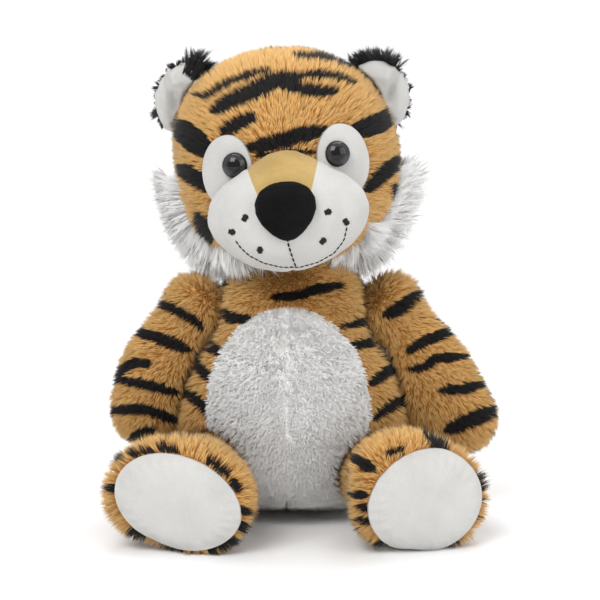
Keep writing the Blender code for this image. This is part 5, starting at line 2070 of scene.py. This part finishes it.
@dataclass
class Studio:
    """A plain pale floor that turns up into a backdrop, and soft lamps."""

    depth: float = 4.0
    width: float = 8.0
    height: float = 3.0
    bend: float = 0.8
    ambient: float = 0.5
    aim: tuple = (0, 0, 0.14)
    lamps: tuple = (
        ("key_lamp", (-0.8, -1.5, 1.7), 1.2, 30.0),
        ("fill_lamp", (1.5, -1.3, 0.9), 1.5, 15.0),
        ("top_lamp", (0.1, 0.6, 1.9), 1.4, 18.0),
    )

    def build(self) -> None:
        """Makes the floor and the lights."""
        self._floor()
        for lamp in self.lamps:
            self._lamp(*lamp)
        world = bpy.data.worlds.new("studio_light")
        world.use_nodes = True
        world.node_tree.nodes["Background"].inputs[0].default_value = (1.0, 1.0, 1.0, 1.0)
        world.node_tree.nodes["Background"].inputs[1].default_value = self.ambient
        bpy.context.scene.world = world
        bpy.context.scene.view_settings.view_transform = "Standard"

    def _floor(self) -> None:
        """The floor, which curves up into the backdrop."""
        deselected()
        bpy.ops.mesh.primitive_plane_add(size=1.0)
        floor = bpy.context.active_object
        floor.name = "studio_floor"
        floor.data.transform(Matrix.Diagonal((self.width, self.depth, 1, 1)))
        bm = joined([floor])
        back = [edge for edge in bm.edges if all(vert.co.y > 0 for vert in edge.verts)]
        made = bmesh.ops.extrude_edge_only(bm, edges=back)
        raised = [item for item in made["geom"] if isinstance(item, bmesh.types.BMVert)]
        bmesh.ops.translate(bm, verts=raised, vec=(0, 0, self.height))
        rear = self.depth / 2
        corner = [e for e in bm.edges if all(abs(v.co.y - rear) < MM and v.co.z < MM for v in e.verts)]
        bmesh.ops.bevel(bm, geom=corner, offset=self.bend, segments=16, profile=0.5, affect="EDGES")
        bmesh.ops.recalc_face_normals(bm, faces=bm.faces)
        bm.to_mesh(floor.data)
        bm.free()
        smooth_shaded(floor)
        shader = Shader("studio_paper", 0.7)
        grain = shader.noise(60.0, 3.0)
        shader.colour(shader.mixed(grain, (0.94, 0.94, 0.94), (0.96, 0.96, 0.96)))
        floor.data.materials.append(shader.material)

    def _lamp(self, name: str, place: tuple, size: float, power: float) -> None:
        """One soft lamp that faces the tiger."""
        data = bpy.data.lights.new(name, "AREA")
        data.energy = power
        data.size = size
        lamp = linked(name, data)
        lamp.location = place
        toward = Vector(self.aim) - Vector(place)
        lamp.rotation_euler = toward.to_track_quat("-Z", "Y").to_euler()


@dataclass
class Tiger:
    """The whole toy, put together from its parts."""

    dressing: Dressing = field(default_factory=Dressing)
    tail_density: float = 1.9e6
    tail_floor_gap: float = 2.0 * MM
    tail_tip: float = 0.138

    def build(self) -> None:
        """Makes every form first, so that each pile keeps clear of the other forms, and then every part."""
        torso_nodes = ["base_panel", "torso_filling", "pellet_bag", "neck_filling"]
        torso_nodes += [f"{kind}_{side.word}" for kind in ("torso_panel", "belly_panel") for side in Side]
        torso_form = stuffed_form("torso_backing", torso_nodes, 3.2 * MM, 3.4 * MM, 10)
        head_nodes = ["head_face_panel", "head_back_panel", "head_filling"]
        head_nodes += [f"{kind}_{side.word}" for kind in ("eye_patch", "eye_washer") for side in Side]
        head_form = stuffed_form("head_backing", head_nodes, 3.2 * MM, 3.8 * MM, 10)
        muzzle_nodes = ["muzzle_bridge", "muzzle_filling", "muzzle_panel_left", "muzzle_panel_right"]
        muzzle_form = stuffed_form("muzzle_form", muzzle_nodes, 1.6 * MM, 0.0, 12)
        limbs = {}
        for side in Side:
            arm = [f"arm_cover_{side.word}", f"arm_filling_{side.word}"]
            leg = [f"leg_cover_{side.word}", f"leg_filling_{side.word}", f"sole_{side.word}"]
            limbs["arm", side] = stuffed_form(f"arm_backing_{side.word}", arm, 2.6 * MM, 3.4 * MM, 8)
            limbs["leg", side] = stuffed_form(f"leg_backing_{side.word}", leg, 2.6 * MM, 2.6 * MM, 10)
        tail = stuffed_form("tail_backing", ["tail_cover", "tail_filling"], 1.8 * MM, 2.4 * MM, 6)
        head_tree, torso_tree = tree_over(head_form), tree_over(torso_form)
        muzzle = Muzzle(self.dressing, muzzle_form)
        muzzle_tree = muzzle.swell()
        limb_trees = [tree_over(form) for form in limbs.values()]
        Torso(self.dressing, torso_form).build([*limb_trees, head_tree])
        for side in Side:
            down = Vector((side.value * 0.7, -0.2, -0.8))
            axis = Vector((side.value * 0.3, 0, 1))
            bands = Bands(Vector((0, 0, 0.02)), axis, 24 * MM, 8 * MM, seed=side.value)
            arm = Limb(self.dressing, "arm", side, limbs["arm", side])
            arm.build(ARM_STRIPES[side], bands, partial(flow_all, way=down), shoulder_share, [torso_tree])
        left = Leg(
            self.dressing, Side.LEFT, splay=math.radians(21), turn=math.radians(90),
            radii=(36.7 * MM, 32.3 * MM), sole_move=(3.0 * MM, 0, -6.0 * MM), twist=0.0,
        )
        right = Leg(
            self.dressing, Side.RIGHT, splay=math.radians(14), turn=math.radians(105),
            radii=(39.4 * MM, 28.4 * MM), sole_move=(0, 0, -2.9 * MM), twist=math.radians(-26),
        )
        for leg in (left, right):
            leg.build(limbs["leg", leg.side], torso_tree)
        self._tail(tail, torso_tree)
        Head(self.dressing, head_form).build(muzzle_tree, [torso_tree])
        muzzle.build()
        for side in Side:
            Ear(self.dressing, side).build(head_tree)
            Ruff(self.dressing, side).build(head_form, [muzzle_tree, torso_tree])
        self._neck()

    def _tail(self, form: bpy.types.Object, torso: BVHTree) -> None:
        """The ringed tail."""
        roots = Roots.scattered(form, self.tail_density, SEED + 20).clear_of([torso], 1.0 * MM)
        roots = roots.kept(roots.places[:, 2] > self.tail_floor_gap)
        bands = Bands(Vector((0, 0.06, 0)), Vector((0, 1, 0)), 19 * MM, 7.5 * MM, waver=0.12, seed=2.0)

        def coat(points: Roots) -> np.ndarray:
            """Each root's coat: rings, and a black tip."""
            dark = bands.dark(points.places) | (points.places[:, 1] > self.tail_tip)
            return np.where(dark, Coat.BLACK.value, Coat.ORANGE.value)

        backing_coat(form, coat)
        piece = Pile().grow("tail_pile", roots, coat, flow_all(roots, Vector((0, 1, 0))), SEED + 21)
        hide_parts("tail_cover")
        dressed(piece, self.dressing.pile, "tail")
        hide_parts("tail_filling")
        dressed(form, self.dressing.backing, "tail")

    def _neck(self) -> None:
        """The plug of fibre in the neck, out of sight inside the torso and the head."""
        plug = stuffed_form("neck_plug", ["neck_filling"], 1.5 * MM, 0.8 * MM, 4)
        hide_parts("neck_filling")
        dressed(plug, self.dressing.backing, "neck")


def main() -> None:
    """Builds the scene."""
    logging.basicConfig(level=logging.INFO, format="%(message)s")
    VIEW.place()
    Studio().build()
    Tiger().build()


if __name__ == "__main__":
    main()
